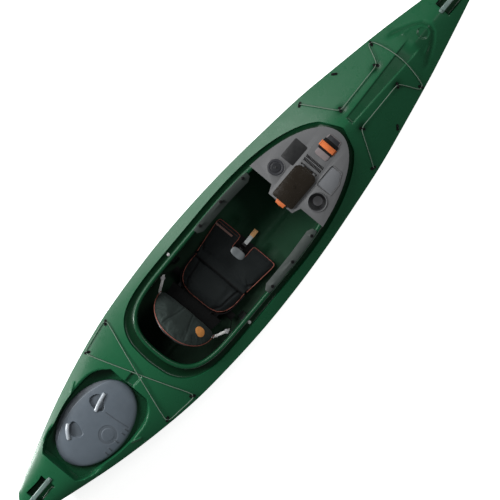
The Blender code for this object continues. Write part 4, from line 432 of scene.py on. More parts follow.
# hull: heights in metres over the ground, x ahead of amidships, y to port
hullForm = {
    "length": 3.71, "beam": 0.737, "wall": 0.005,
    "sheerLow": (-0.20, 0.222), "sheerRise": (0.055, 0.078),
    "flatKeel": 1.05, "rocker": (0.085, 0.10), "rockerPower": 2.2,
    "nosePlan": 0.070, "noseProfile": 0.140, "noseShare": 0.55, "noseDrop": 0.020,
    "coaming": (-0.7614, 0.7857, 0.2765), "gutter": (-0.8154, 0.8208, 0.308), "widest": -0.05,
    "coamingHeights": (0.264, 0.362, 0.1405, -0.15, 0.025),
    "bead": (0.028, 0.014, 0.008), "lip": 0.012, "flange": 0.035, "gutterDepth": 0.014, "gutterRun": 0.009,
    "well": (-1.555, -0.972, 0.200, 0.011), "hatch": (-1.2528, 0.529, 0.367),
    "floorSlope": 0.125, "groove": (0.864, 1.42, 0.0080), "scoop": (1.647, 1.775, 0.030, 0.010),
    "steps": (0.022, 0.006), "trackChannel": (-0.60, 0.10, 0.130, 0.022),
    "floorReach": (-0.84, 0.98, 0.27, 0.08),
    "vee": (0.60, 1.10, 1.2), "lipCap": ((1.40, 1.60), (0.86, 0.66)),
    "inward": [0.9, 0.78, 0.66, 0.54, 0.43, 0.36, 0.315, 0.28, 0.24, 0.18, 0.09, 0.0],
    # ringSunk: shares of painted shade on the coaming's rings, from the gutter's edge in
    "ringSunk": [0.1, 1, 1, 1, 0.8, 0.62, 0.5, 0.5, 0.7, 0.95],
}
half = hullForm["length"] / 2
# half breadth as a share of half the beam, over x as a share of half the length
fullX = np.array([
    -1.0, -0.873, -0.728, -0.582, -0.437, -0.291, -0.146, 0.0, 0.146, 0.291, 0.437, 0.582, 0.728, 0.873, 1.0
])
full = np.array([
    0.176, 0.388, 0.610, 0.784, 0.910, 0.973, 1.001, 0.988, 0.943, 0.868, 0.776, 0.643, 0.497, 0.327, 0.174
])
# the deck's crown over the gunwale, and the power of its curve
crownX = np.array([-1.855, -1.60, -1.25, -0.85, -0.50, -0.10, 0.30, 0.70, 0.90, 1.20, 1.60, 1.855])
crown = np.array([0.012, 0.034, 0.045, 0.052, 0.072, 0.098, 0.115, 0.122, 0.110, 0.086, 0.045, 0.012])
crownPower = np.array([2.6, 2.9, 3.0, 2.1, 1.7, 1.6, 1.5, 1.4, 1.32, 1.25, 1.3, 1.5])
# corners of the section from the keel to the gunwale: share of the breadth, share of the height
midSection = np.array([
    (0, 0), (0.10, 0), (0.185, 0.055), (0.27, 0), (0.46, 0.0), (0.66, 0.085), (0.86, 0.31),
    (0.957, 0.62), (1, 1),
])
endSection = np.array([
    (0, 0), (0.08, 0.02), (0.16, 0.07), (0.26, 0.13), (0.42, 0.25), (0.60, 0.41), (0.78, 0.60),
    (0.92, 0.80), (1, 1),
])
# half width of the deck's recesses along x
lipTable = np.array([
    (-1.775, 0.05), (-1.647, 0.05), (-1.60, 0.070), (-1.555, 0.118), (-1.512, 0.148), (-1.40, 0.174),
    (-1.28, 0.201), (-1.177, 0.207), (-1.010, 0.166), (-0.972, 0.130), (-0.80, 0.09),
    (0.864, 0.028), (1.42, 0.046), (1.647, 0.05), (1.775, 0.05),
])


# cubic pieces through a table: the slope at each station is that of its neighbours
def faired(x, stations, values):
    x = np.clip(x, stations[0], stations[-1])
    slopes = np.gradient(values, stations)
    i = np.clip(np.searchsorted(stations, x) - 1, 0, len(stations) - 2)
    run = stations[i + 1] - stations[i]
    t = (x - stations[i]) / run
    start = values[i] + run * slopes[i] * t * (1 - t) ** 2
    return start + (values[i + 1] - values[i]) * t * t * (3 - 2 * t) - run * slopes[i + 1] * (1 - t) * t * t


# how far a rounded end has closed in, a quarter circle: 0 before the run, 1 at the tip
def noseRound(x, run):
    t = np.clip(1 - (half - np.abs(x)) / run, 0, 1)
    return 1 - np.sqrt(1 - t * t)


def halfBreadth(x):
    return faired(x / half, fullX, full) * hullForm["beam"] / 2 * (1 - noseRound(x, hullForm["nosePlan"]))


def sheer(x):
    lowX, lowZ = hullForm["sheerLow"]
    rearRise, frontRise = hullForm["sheerRise"]
    reach = np.where(x >= lowX, half - lowX, half + lowX)
    return lowZ + np.where(x >= lowX, frontRise, rearRise) * ((x - lowX) / reach) ** 2


def keel(x):
    reach = np.clip(np.abs(x) - hullForm["flatKeel"], 0, None) / (half - hullForm["flatKeel"])
    rise = np.where(x > 0, hullForm["rocker"][1], hullForm["rocker"][0]) * reach ** hullForm["rockerPower"]
    return rise + (sheer(x) - rise) * hullForm["noseShare"] * noseRound(x, hullForm["noseProfile"])


# deck over the gunwale: sheer + crown * (1 - |u|^power), dropped at the noses
def deckSkin(x, u):
    rise = faired(x, crownX, crown) * (1 - np.abs(u) ** faired(x, crownX, crownPower))
    return sheer(x) + rise - hullForm["noseDrop"] * noseRound(x, hullForm["noseProfile"])


def coamingHeight(x):
    low, frontZ, slope, lowX, rearRise = hullForm["coamingHeights"]
    rearX, frontX = hullForm["coaming"][:2]
    tangentX = -(2 * (frontZ - slope * frontX - low) / slope + lowX)
    middle = low + slope / (2 * (tangentX - lowX)) * (x - lowX) ** 2
    rear = low + rearRise * ((x - lowX) / (rearX - lowX)) ** 2
    return np.where(x > tangentX, frontZ + (x - frontX) * slope, np.where(x > lowX, middle, rear))


# half an oval, rear to front: y = half beam * (1 - share^full)^close, steps crowded at the ends
def ovalEdge(rearX, frontX, halfBeam, rearPowers, frontPowers, count):
    share = np.cos(np.linspace(0, math.pi, 3000))
    widest = hullForm["widest"]
    x = widest - np.where(share > 0, widest - rearX, frontX - widest) * share
    fullness = np.where(share > 0, rearPowers[0], frontPowers[0])
    close = np.where(share > 0, rearPowers[1], frontPowers[1])
    y = halfBeam * (1 - np.abs(share) ** fullness) ** close
    steps = np.concatenate([[0], np.cumsum(np.hypot(np.diff(x), np.diff(y)))])
    even = np.linspace(0, 1, count)
    even = steps[-1] * (even - 0.6 * np.sin(2 * math.pi * even) / (2 * math.pi))
    return np.stack([np.interp(even, steps, x), np.interp(even, steps, y)], axis=1)


def coamingEdge(count):
    return ovalEdge(*hullForm["coaming"], (7.0, 0.42), (2.5, 0.5), count)


def gutterEdge(count):
    return ovalEdge(*hullForm["gutter"], (6.5, 0.39), (2.6, 0.5), count)


def lipLine(x):
    return faired(x, lipTable[:, 0], lipTable[:, 1])


def circle(radius, sides):
    turn = np.linspace(0, 2 * math.pi, sides + 1)[:-1]
    return np.stack([radius * np.cos(turn), radius * np.sin(turn)], axis=1)


def bell(x, y, atX, atY, lengthX, lengthY):
    return np.exp(-(((x - atX) / lengthX) ** 2) - ((y - atY) / lengthY) ** 2)


# how far points lie from a broken line
def lineDistance(x, y, points):
    nearest = np.full(np.shape(x), 9.0)
    for (ax, ay), (bx, by) in zip(points[:-1], points[1:]):
        run = max((bx - ax) ** 2 + (by - ay) ** 2, 1e-12)
        t = np.clip(((x - ax) * (bx - ax) + (y - ay) * (by - ay)) / run, 0, 1)
        nearest = np.minimum(nearest, np.hypot(x - ax - t * (bx - ax), y - ay - t * (by - ay)))
    return nearest


# a band along a broken line, 1 on the line and 0 a half width away from it
def band(x, y, points, width):
    return ease(1 - lineDistance(x, y, points) / width)


# what is moulded into the deck, in plan: lines, dishes and bands with their widths and depths
deckMarks = {
    "arrow": [(1.372, 0.126), (1.43, 0.098), (1.49, 0.066), (1.526, 0.036), (1.538, 0.0)],
    "arrowDepth": 0.0060, "arrowWidth": 0.022,
    "dishes": [(0.892, 0.072, 0.034, 0.022), (1.180, 0.074, 0.034, 0.022)], "dishDepth": 0.0045,
    "channel": (-0.966, -0.896, 0.030, 0.010),
    "lines": [
        ([(-1.205, 0.212), (-1.156, 0.236)], 0.008, -0.0050),
        ([(1.415, 0.078), (1.450, 0.070)], 0.009, -0.0025),
    ],
    # deepShares: how much of the painted shade from their depth the well, the groove and the bow keep
    "roundel": (1.4877, 0.034, 0.0050), "deepShares": (0.25, 0.45, 0.5),
    "sternSpots": [-1.215, -1.19, -1.165, -1.14, -0.90],
    "bowSpots": [0.872, 0.900, 0.928, 1.142, 1.170, 1.198, 1.40, 1.43, 1.46, 1.49, 1.515, 1.54],
    "shoulders": [(-1.205, -0.985), (-1.500, -1.405)], "shoulder": (0.010, 0.012, 0.0060),
}


# moulded details: walls rise over a short run, in the smooth step 3t^2 - 2t^3
def sunkDeck(x, y, u):
    z = deckSkin(x, u)
    side = np.abs(y)
    lip = lipLine(x)
    rear, front, floor, run = hullForm["well"]
    within = ease((lip - side) / run)
    well = within * ease((x - rear) / run) * ease((front - x) / run)
    z = z + (floor - z) * well
    reach, width, depth = deckMarks["shoulder"]
    for back, ahead in deckMarks["shoulders"]:
        spot = ease((x - back) / 0.025) * ease((ahead - x) / 0.025)
        z = z - depth * spot * ease((lip + reach - side) / width) * (1 - within)
    # the groove's floor is level across, a little below the deck at its edges
    rear, front, depth = hullForm["groove"]
    groove = ease((lip - side) / 0.011) * ease((x - rear) / 0.012) * ease((front - x) / 0.060)
    edge = deckSkin(x, np.minimum(lip / np.maximum(halfBreadth(x), 0.02), 1))
    z = z + (np.minimum(edge - depth * 0.55, z - 0.004) - z) * groove
    for line, width, depth in deckMarks["lines"]:
        z = z - depth * band(x, side, line, width)
    inner, outer, depth, run = hullForm["scoop"]
    scoop = ease((lip - side) / run) * ease((np.abs(x) - inner) / run) * ease((outer - np.abs(x)) / run)
    z = z - depth * scoop
    z = z - deckMarks["arrowDepth"] * band(x, side, deckMarks["arrow"], deckMarks["arrowWidth"])
    for px, py, lengthX, lengthY in deckMarks["dishes"]:
        z = z - deckMarks["dishDepth"] * bell(x, side, px, py, lengthX, lengthY) ** 2
    at, radius, depth = deckMarks["roundel"]
    z = z - depth * ease((radius - np.hypot(x - at, y)) / 0.005)
    rear, front, wide, depth = deckMarks["channel"]
    channel = ease((wide - side) / 0.006) * ease((x - rear + 0.010) / 0.010) * ease((front - x) / 0.012)
    return z - depth * channel


# stations from a to b whose spacing falls from coarse to fine near each spot
def crowded(a, b, coarse, fine, spots, reach=0.016):
    x = np.linspace(a, b, 4000)
    density = np.full(x.shape, 1 / coarse)
    for spot in spots:
        density += np.exp(-(((x - spot) / reach) ** 2)) / fine
    total = np.concatenate([[0], np.cumsum((density[1:] + density[:-1]) / 2 * np.diff(x))])
    count = int(math.ceil(total[-1])) + 1
    return np.interp(np.linspace(0, total[-1], count), total, x)


# the skin outside the cockpit as rows of points, from the keel over the gunwale to the middle of the deck or
# to the gutter, and each point's share of painted shade, from 0 on the open deck to 1
def hullBody(x, hole):
    breadth = np.maximum(halfBreadth(x), 0.000001)

    # below the gunwale: cubic pieces through the section's corners, the ends V-shaped
    start, reach, power = hullForm["vee"]
    k = np.linspace(0, 8, 25)
    v = np.clip((np.abs(x) - start) / reach, 0, 1) ** power
    columns = [faired(k, np.arange(9.0), table[:, j]) for table in (midSection, endSection) for j in (0, 1)]
    across = columns[0] * (1 - v) + columns[2] * v
    up = np.maximum(columns[1], 0) * (1 - v) + columns[3] * v
    low = keel(x)
    high = sheer(x) - hullForm["noseDrop"] * noseRound(x, hullForm["noseProfile"])
    bottom = np.stack([x + 0 * across, breadth * across, low + (high - low) * up], axis=-1)

    # deck lines: from the gunwale to a recess's lip, down its wall, and in to the centre or the gutter
    lip = np.minimum(lipLine(x) / breadth, np.interp(np.abs(x), *hullForm["lipCap"]))
    foot = np.maximum(lip - hullForm["well"][3] / breadth, lip * 0.5)
    outerPart = lip + (1 - lip) * (np.linspace(1, 0, 22) ** 1.3)[1:-1]
    wallPart = lip + (foot - lip) * np.linspace(0, 1, 6)
    free = np.concatenate([outerPart, wallPart, foot * np.array(hullForm["inward"])], axis=1)
    facet = 1 - np.linspace(0, 1, free.shape[1] + 1)[1:] * (1 - hole / breadth)
    blend = np.minimum(hole / 0.12, 1.0)
    u = free * (1 - blend) + facet * blend
    side = breadth * u
    deck = np.stack([x + 0 * u, side, sunkDeck(x + 0 * u, side, u)], axis=-1)

    # painted shade in the recesses, from their depth: wide recesses only count in part, small ones and the
    # dishes more than their depth alone would give
    sunk = np.clip((deckSkin(x + 0 * u, u) - deck[:, :, 2] - 0.0012) / 0.006, 0, 1)
    wellShare, grooveShare, bowShare = deckMarks["deepShares"]
    sunk = sunk * np.where((x > -1.58) & (x < -0.88), wellShare, 1.0)
    inGroove = (x > 0.85) & (x < hullForm["groove"][1] + 0.04) & (side < 0.056)
    sunk = sunk * np.where(inGroove, grooveShare, 1.0)
    for px, py, lengthX, lengthY in deckMarks["dishes"]:
        sunk = np.maximum(sunk, 0.85 * bell(x, side, px, py, lengthX, lengthY))
    sunk = sunk * np.where((x > 1.34) & (x < 1.60), bowShare, 1.0)
    inArrow = ease((x - 1.36) / 0.05) * ease((1.53 - x) / 0.04) * ease((1.56 - x - side) / 0.03)
    sunk = np.maximum(sunk, 0.25 * inArrow)
    return np.concatenate([bottom, deck], axis=1), np.concatenate([0 * across + 0 * x, sunk], axis=1)


# rings that follow the gutter's edge and the bead, their corners cut twice over; the fourth value of a point
# is its share of painted shade, full in the gutter
def coamingRings(edge):
    count = len(edge)
    bead = coamingEdge(count)
    along = np.gradient(bead, axis=0)
    along[0], along[-1] = (0, 1), (0, -1)
    along /= np.linalg.norm(along, axis=1)[:, None]
    out = np.stack([-along[:, 1], along[:, 0]], axis=1)
    inward = bead - edge[:, :2]
    inward /= np.linalg.norm(inward, axis=1)[:, None]
    floor = edge[:, 2] - hullForm["gutterDepth"]
    width, height, bend = hullForm["bead"]
    lip = hullForm["lip"]
    rings = [
        edge,
        np.column_stack([edge[:, :2] + inward * hullForm["gutterRun"], floor]),
        np.column_stack([bead - out * lip, floor]),
    ]
    for offset, drop in [
        (-lip, height), (-bend / 2, height), (0, height * 0.55), (-bend, 0), (-width + bend, 0),
        (-width, bend), (-width, hullForm["flange"]),
    ]:
        place = bead + out * offset
        rings.append(np.column_stack([place, coamingHeight(place[:, 0]) - drop]))
    rings = np.stack(rings, axis=1)
    sunk = np.tile(np.array(hullForm["ringSunk"])[None, :, None], (count, 1, 1))
    rings = np.concatenate([rings, sunk], axis=2)
    for _ in range(2):
        near = rings[:, :-1] * 0.75 + rings[:, 1:] * 0.25
        far = rings[:, :-1] * 0.25 + rings[:, 1:] * 0.75
        inside = np.stack([near, far], axis=2).reshape(count, -1, 4)
        rings = np.concatenate([rings[:, :1], inside, rings[:, -1:]], axis=1)
    rings[[0, -1], :, 1] = 0
    return rings


# the outer skin, without thickness: stations crowded where the deck has details, the two halves mirrored
def outerSkin():
    gutter = gutterEdge(150)
    inner, outer = hullForm["scoop"][:2]
    coarse, fine = hullForm["steps"]
    aft = [-half, -half, -outer, -inner, *hullForm["well"][:2]] + deckMarks["sternSpots"]
    ahead = [hullForm["groove"][0], inner, outer, half, half] + deckMarks["bowSpots"]
    stern = crowded(-half, gutter[0, 0], coarse, fine, aft)[:-1]
    bow = crowded(gutter[-1, 0], half, coarse, fine, ahead)[1:]
    x = np.concatenate([stern, gutter[:, 0], bow])[:, None]
    hole = np.concatenate([0 * stern, gutter[:, 1], 0 * bow])[:, None]
    body, bodyShade = hullBody(x, hole)
    rings = coamingRings(body[len(stern) : len(stern) + len(gutter), -1])
    places = np.concatenate([body.reshape(-1, 3), rings[:, :, :3].reshape(-1, 3)])
    # each point's share of painted shade, kept for the hull's finish
    sunk = np.concatenate([bodyShade.ravel(), rings[:, :, 3].ravel()])
    faces = np.concatenate([gridFaces(*body.shape[:2]), gridFaces(*rings.shape[:2], start=bodyShade.size)])
    faces = np.concatenate([faces, faces[:, ::-1] + len(places)])
    mesh = meshOf("hullSkin", np.concatenate([places, places * (1, -1, 1)]), faces)
    keepMark(mesh, "sunk", np.concatenate([sunk, sunk]))
    return cleaned(mesh, 0.00003)


# inside, the cockpit floor is a shallow V with channels for the seat's tracks
def raiseFloor(mesh, outerCount):
    places = readPlaces(mesh)
    x, side = places[:, 0], np.abs(places[:, 1])
    vee = hullForm["wall"] + 0.0002 + side * hullForm["floorSlope"]
    rear, front, middle, wide = hullForm["trackChannel"]
    channel = ease((x - rear) / 0.04) * ease((front - x) / 0.04)
    channel = channel * ease((wide - np.abs(side - middle)) / 0.006)
    rear, front, wide, high = hullForm["floorReach"]
    within = ease((x - rear) / 0.05) * ease((front - x) / 0.10)
    vee -= 0.1 * channel + 0.1 * (1 - within) + 0.1 * ease((side - wide) / 0.02)
    raised = (np.arange(len(places)) >= outerCount) & (places[:, 2] < vee) & (places[:, 2] < high)
    places[raised, 2] = vee[raised]
    writePlaces(mesh, places)


# an oval plug cuts the hatch's opening in the deck
def cutHatch(mesh):
    hatchX, lidLength, lidBeam = hullForm["hatch"]
    oval = circle(1.0, 96) * (lidLength * 0.45 - 0.006, lidBeam * 0.45 - 0.006) + (hatchX, 0)
    plug = [np.column_stack([oval, np.full(96, z)]) for z in (0.15, 0.25)]
    cutter = looseObject("hatchCutter", cleaned(meshOf("hatchCutter", plug, tubeFaces(2, 96))))
    mesh = modified(mesh, "BOOLEAN", object=cutter, operation="DIFFERENCE", solver="EXACT")
    bpy.data.objects.remove(cutter, do_unlink=True)
    return mesh


def makeHull():
    mesh = outerSkin()
    # the skin must face outwards before its wall is raised inwards
    lowest = min(mesh.polygons, key=lambda face: face.center.z)
    if lowest.normal.z > 0:
        mesh.flip_normals()
    mesh.materials.append(hullPlastic)
    mesh.materials.append(hullInside)
    outerCount = len(mesh.vertices)
    mesh = modified(mesh, "SOLIDIFY", thickness=hullForm["wall"], offset=-1.0, material_offset=1)
    raiseFloor(mesh, outerCount)
    mesh = cutHatch(mesh)
    mesh.name = "hullSkin"
    piece = fromMesh("hullSkin", mesh, None, "hull", 50)
    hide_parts("hull_shell")
    print("hull", len(mesh.polygons))


makeHull()


def unit(v):
    return v / np.maximum(np.linalg.norm(v, axis=-1, keepdims=True), 1e-12)


# evenly spaced points along a path
def evenly(points, spacing):
    points = np.asarray(points, dtype=float)
    steps = np.concatenate([[0], np.cumsum(np.linalg.norm(np.diff(points, axis=0), axis=1))])
    count = max(int(round(steps[-1] / spacing)), 3)
    at = np.linspace(0, steps[-1], count + 1)
    return np.stack([np.interp(at, steps, points[:, k]) for k in range(points.shape[1])], axis=1)


# corners cut a number of times over, which rounds a path
def rounded(points, times, closed=False):
    points = np.asarray(points, dtype=float)
    for _ in range(times):
        ahead = np.roll(points, -1, axis=0) if closed else points[1:]
        here = points if closed else points[:-1]
        cut = np.stack([here * 0.75 + ahead * 0.25, here * 0.25 + ahead * 0.75], axis=1)
        cut = cut.reshape(-1, points.shape[1])
        points = cut if closed else np.concatenate([points[:1], cut, points[-1:]])
    return points


# a section carried along a path: centre + across * a + up * b for each corner (a, b) of the section
def sweepMesh(name, path, section, ups=(0.0, 0.0, 1.0), closed=False):
    path = np.asarray(path, dtype=float)
    ahead = np.roll(path, -1, axis=0) - np.roll(path, 1, axis=0)
    if not closed:
        ahead[0], ahead[-1] = path[1] - path[0], path[-1] - path[-2]
    ahead = unit(ahead)
    across = unit(np.cross(ups, ahead))
    up = np.cross(ahead, across)
    grid = path[:, None] + across[:, None] * section[None, :, :1] + up[:, None] * section[None, :, 1:2]
    rows, columns, _ = grid.shape
    faces = gridFaces(rows, columns, True, True).tolist() if closed else tubeFaces(rows, columns)
    return cleaned(meshOf(name, grid, faces), 0.000002)


def roundedBar(width, height):
    turn = np.linspace(0, math.pi, 6)
    radius = height / 2
    side = np.stack([width / 2 - radius + radius * np.sin(turn), radius * np.cos(turn)], axis=1)
    return np.concatenate([side, -side])


def surfaceOf(*meshes):
    places, faces = [], []
    for mesh in meshes:
        start = len(places)
        places += [v.co.copy() for v in mesh.vertices]
        faces += [[start + k for k in face.vertices] for face in mesh.polygons]
    return BVHTree.FromPolygons(places, faces)


# heights of a surface under a set of plan points, seen from above
def heights(surface, plan, fallback):
    found = [surface.ray_cast(Vector((x, y, 1.0)), Vector((0, 0, -1)))[0] for x, y in plan]
    return np.array([hit.z if hit else fallback for hit in found])


def joined(name, meshes):
    work = bmesh.new()
    for mesh in meshes:
        work.from_mesh(mesh)
    whole = bpy.data.meshes.new(name)
    work.to_mesh(whole)
    work.free()
    return whole


# a turned profile of (radius, height) pairs, closed at its poles
def turnedMesh(name, profile, place, steps=48, stretch=(1, 1)):
    profile = np.asarray(profile, dtype=float)
    turn = np.linspace(0, 2 * math.pi, steps + 1)[:-1]
    x = profile[:, :1] * np.cos(turn) * stretch[0]
    y = profile[:, :1] * np.sin(turn) * stretch[1]
    mesh = gridMesh(name, np.stack([x, y, profile[:, 1:] + 0 * x], axis=-1), True, 0.000002)
    mesh.transform(place)
    return mesh


# padded pieces: the CAD's solid remeshed, blown up a little as cloth, then sewn down along its seams
padForm = {"voxel": 0.005, "pressure": 4.0, "frames": 20, "shrink": 0.0022, "cap": 0.006}


def puffed(name, flatUnder):
    mesh = cleaned(nodes[name].data.copy(), 0.00003, recalc=False)
    writePlaces(mesh, readPlaces(mesh) - readNormals(mesh) * padForm["shrink"])
    mesh = modified(mesh, "REMESH", mode="VOXEL", voxel_size=padForm["voxel"])
    mesh = modified(mesh, "SMOOTH", factor=0.5, iterations=4)
    pad = looseObject(name + "Pad", mesh)
    before = readPlaces(mesh)
    held = pad.vertex_groups.new(name="held")
    held.add(np.nonzero(flatUnder(before))[0].tolist(), 1.0, "REPLACE")
    cloth = pad.modifiers.new("cloth", "CLOTH")
    cloth.settings.use_pressure = True
    cloth.settings.uniform_pressure_force = padForm["pressure"]
    cloth.settings.effector_weights.gravity = 0
    cloth.settings.vertex_group_mass = "held"
    cloth.settings.quality = 5
    cloth.collision_settings.use_collision = False
    for step in range(1, padForm["frames"] + 1):
        bpy.context.scene.frame_set(step)
    mesh = settled(pad)
    bpy.context.scene.frame_set(1)
    shift = readPlaces(mesh) - before
    length = np.linalg.norm(shift, axis=1, keepdims=True)
    shift *= np.minimum(1, padForm["cap"] / np.maximum(length, 1e-9))
    writePlaces(mesh, before + shift)
    return modified(mesh, "SUBSURF", levels=1, render_levels=1)


# a seam along a broken line, to port and to starboard: the cloth dips by depth on it and by 0 a width away
def sew(places, seam, depth, width, upward):
    for side in (1, -1):
        dip = band(places[:, 0], places[:, 1], [(x, y * side) for x, y in seam], width) * depth
        places[:, 2] -= np.where((upward > 0.3) & (places[:, 2] > 0.06), dip, 0)


seatForm = {
    "bodies": {"Rear": "seat", "Front": "lifter"},
    "floor": {"Rear": (0.045, 0.0453), "Front": (0.0507, 0.0509)},
    "thighSeam": {
        "Rear": [(-0.392, 0.088), (-0.345, 0.118), (-0.27, 0.128), (-0.215, 0.138)],
        "Front": [(-0.188, 0.146), (-0.15, 0.168), (-0.115, 0.196)],
    },
    "seamDepth": 0.0050, "seamWidth": 0.011, "seamShade": 0.009, "seamRadius": 0.0011,
    "piping": {
        "Rear": [
            (-0.207, 0.172), (-0.26, 0.1735), (-0.31, 0.168), (-0.352, 0.150), (-0.380, 0.118),
            (-0.392, 0.07), (-0.393, 0.0),
        ],
        "Front": [
            (-0.188, 0.178), (-0.12, 0.186), (-0.05, 0.194), (0.0, 0.200), (0.022, 0.198), (0.028, 0.188),
            (0.029, 0.12), (0.029, 0.056), (0.022, 0.048), (0.0, 0.046), (-0.046, 0.046), (-0.054, 0.040),
            (-0.0545, 0.0),
        ],
    },
    "pipeRadius": 0.0022,
    "hem": [(0.013, 0.196), (0.013, 0.062)], "hemDip": (0.0016, 0.005), "hemRadius": 0.0009,
    "tape": [(-0.006, 0.198), (-0.005, 0.082)], "tapeSize": (0.011, 0.0016),
    "gusset": (-0.2150, -0.1600, 0.0850, 0.0016, 0.168), "gussetCut": (0.338, 0.056), "gussetArea": 0.0188,
}


# a path that ends on the centre line, carried on to starboard
def bothWays(path):
    path = np.asarray(path, dtype=float)
    return np.concatenate([path, path[::-1][1:] * (1, -1)])


# a cord laid on a surface along a plan path, its height smoothed three times over
def layCord(name, surface, plan, radius, sink, low):
    plan = evenly(rounded(plan, 2), 0.004)
    z = heights(surface, plan, low)
    for _ in range(3):
        z = np.concatenate([z[:1], (z[1:-1] * 2 + z[2:] + z[:-2]) / 4, z[-1:]])
    return sweepMesh(name, np.column_stack([plan, z + radius * (1 - sink)]), circle(radius, 8))


# a strip of cloth over the hinge between the two cushions, a shallow valley: z = high - dip (1 - t^2)
def makeGusset(front):
    rearX, frontX, high, dip, wide = seatForm["gusset"]
    t = np.linspace(-1, 1, 21)[:, None]
    y = np.linspace(-1, 1, 41)[None, :] * wide
    x = (rearX + frontX) / 2 + (frontX - rearX) / 2 * t + 0 * y
    # its front edge is sunk into the front cushion, its rear corners dip under the rear one
    edge = heights(front, np.column_stack([np.full(41, frontX), y[0]]), 0.08) - 0.0012
    z = high - dip * (1 - t * t) - 0.010 * np.abs(y / wide) ** 6 * (1 - t) / 2
    z += (edge[None, :] - high) * ease((t + 0.35) / 1.35)
    grid = np.stack([x, y + 0 * t, z], axis=-1)
    # painted shade along its rear edge, where the strip dips under the rear cushion
    mesh = gridMesh("seatGusset", grid, dark=ease((-0.55 - t + 0 * y) / 0.3))
    gusset = fromMesh("seatGusset", thickened(mesh, 0.0014), seatCloth, None, 60)
    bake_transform(gusset)


def makeCushion(part, body):
    bottom, lowest = seatForm["floor"][part]
    mesh = puffed("seat_cushion_" + part.lower(), lambda p: p[:, 2] < bottom + 0.006)
    places = readPlaces(mesh)
    places[:, 2] = np.maximum(places[:, 2], lowest)
    seam, up = seatForm["thighSeam"][part], readNormals(mesh)[:, 2]
    sew(places, seam, seatForm["seamDepth"], seatForm["seamWidth"], up)
    # painted shade along the thigh seams' dips, and on the rear cushion along its front edge by the gap to
    # the front one
    dark = band(places[:, 0], np.abs(places[:, 1]), seam, seatForm["seamShade"])
    if part == "Front":
        sew(places, seatForm["hem"], *seatForm["hemDip"], up)
    else:
        dark = np.maximum(dark, 0.9 * ease((places[:, 0] + 0.2135) / 0.006))
    writePlaces(mesh, places)
    keepMark(mesh, "dark", dark)
    pad = fromMesh("seatPad" + part, mesh, seatCloth, body, 60)
    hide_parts("seat_cushion_" + part.lower())
    return surfaceOf(mesh)


def makeSeat():
    bodies = seatForm["bodies"]
    tops = {part: makeCushion(part, body) for part, body in bodies.items()}
    for part, body in bodies.items():
        name = "seatPiping" + part
        plan = bothWays(seatForm["piping"][part])
        fromMesh(name, layCord(name, tops[part], plan, seatForm["pipeRadius"], 0.25, 0.075), pipingCord, body)
    hem = layCord("seatHemStitch", tops["Front"], seatForm["hem"], seatForm["hemRadius"], 0.2, 0.07)
    fromMesh("seatHemStitch", hem, pipingCord, "lifter")
    tape = evenly(seatForm["tape"], 0.004)
    path = np.column_stack([tape, heights(tops["Front"], tape, 0.08) + 0.0006])
    tape = sweepMesh("thighTape", path, roundedBar(*seatForm["tapeSize"]))
    fromMesh("thighTape", tape, tapeWeb, "lifter", 60)
    for part, body in bodies.items():
        threads = []
        for side in (1, -1):
            plan = [(x, y * side) for x, y in seatForm["thighSeam"][part]]
            threads.append(layCord("seam", tops[part], plan, seatForm["seamRadius"], 0.3, 0.07))
        fromMesh("seatSeam" + part, joined("seatSeam" + part, threads), seamCord, body)
    makeGusset(tops["Front"])


makeSeat()
print("seat pads")


# backrest pad: worked out in its own leaning plane, x off the shell, z up the plane
backForm = {
    "hinge": (-0.462, 0.0, 0.085), "lean": 35.0, "height": 0.300, "half": 0.189,
    "channel": [(0.030, 0.06), (0.045, 0.15), (0.075, 0.262)], "channelDip": (0.010, 0.0030),
    "patch": (0.029, 0.036, 0.0012), "patchAt": (0.138, -0.114), "pipeRadius": 0.0022, "pipeAt": 0.0075,
    "skirt": (-0.476, 0.1035, -0.402, 0.1012), "skirtCut": (0.340, 0.091), "skirtArea": 0.0289,
}
leanFrame = Matrix.Translation(backForm["hinge"]) @ Matrix.Rotation(-math.radians(backForm["lean"]), 4, "Y")
leanBack = np.array(leanFrame.inverted())


# half width of the backrest at a height up its plane
def backHalf(v):
    height = backForm["height"]
    share = np.clip(1 - (np.clip(v - 0.05, 0, None) / (height - 0.05)) ** 2.4, 0, None)
    return backForm["half"] * share ** 0.5 * np.minimum(1.0, 0.82 + 0.18 * np.clip(v, 0, None) / 0.05)


def onPad(surface, y, v):
    hits = [surface.ray_cast(Vector((0.2, a, b)), Vector((-1, 0, 0)))[0] for a, b in zip(y, v)]
    return np.array([hit.x if hit else 0.012 for hit in hits])


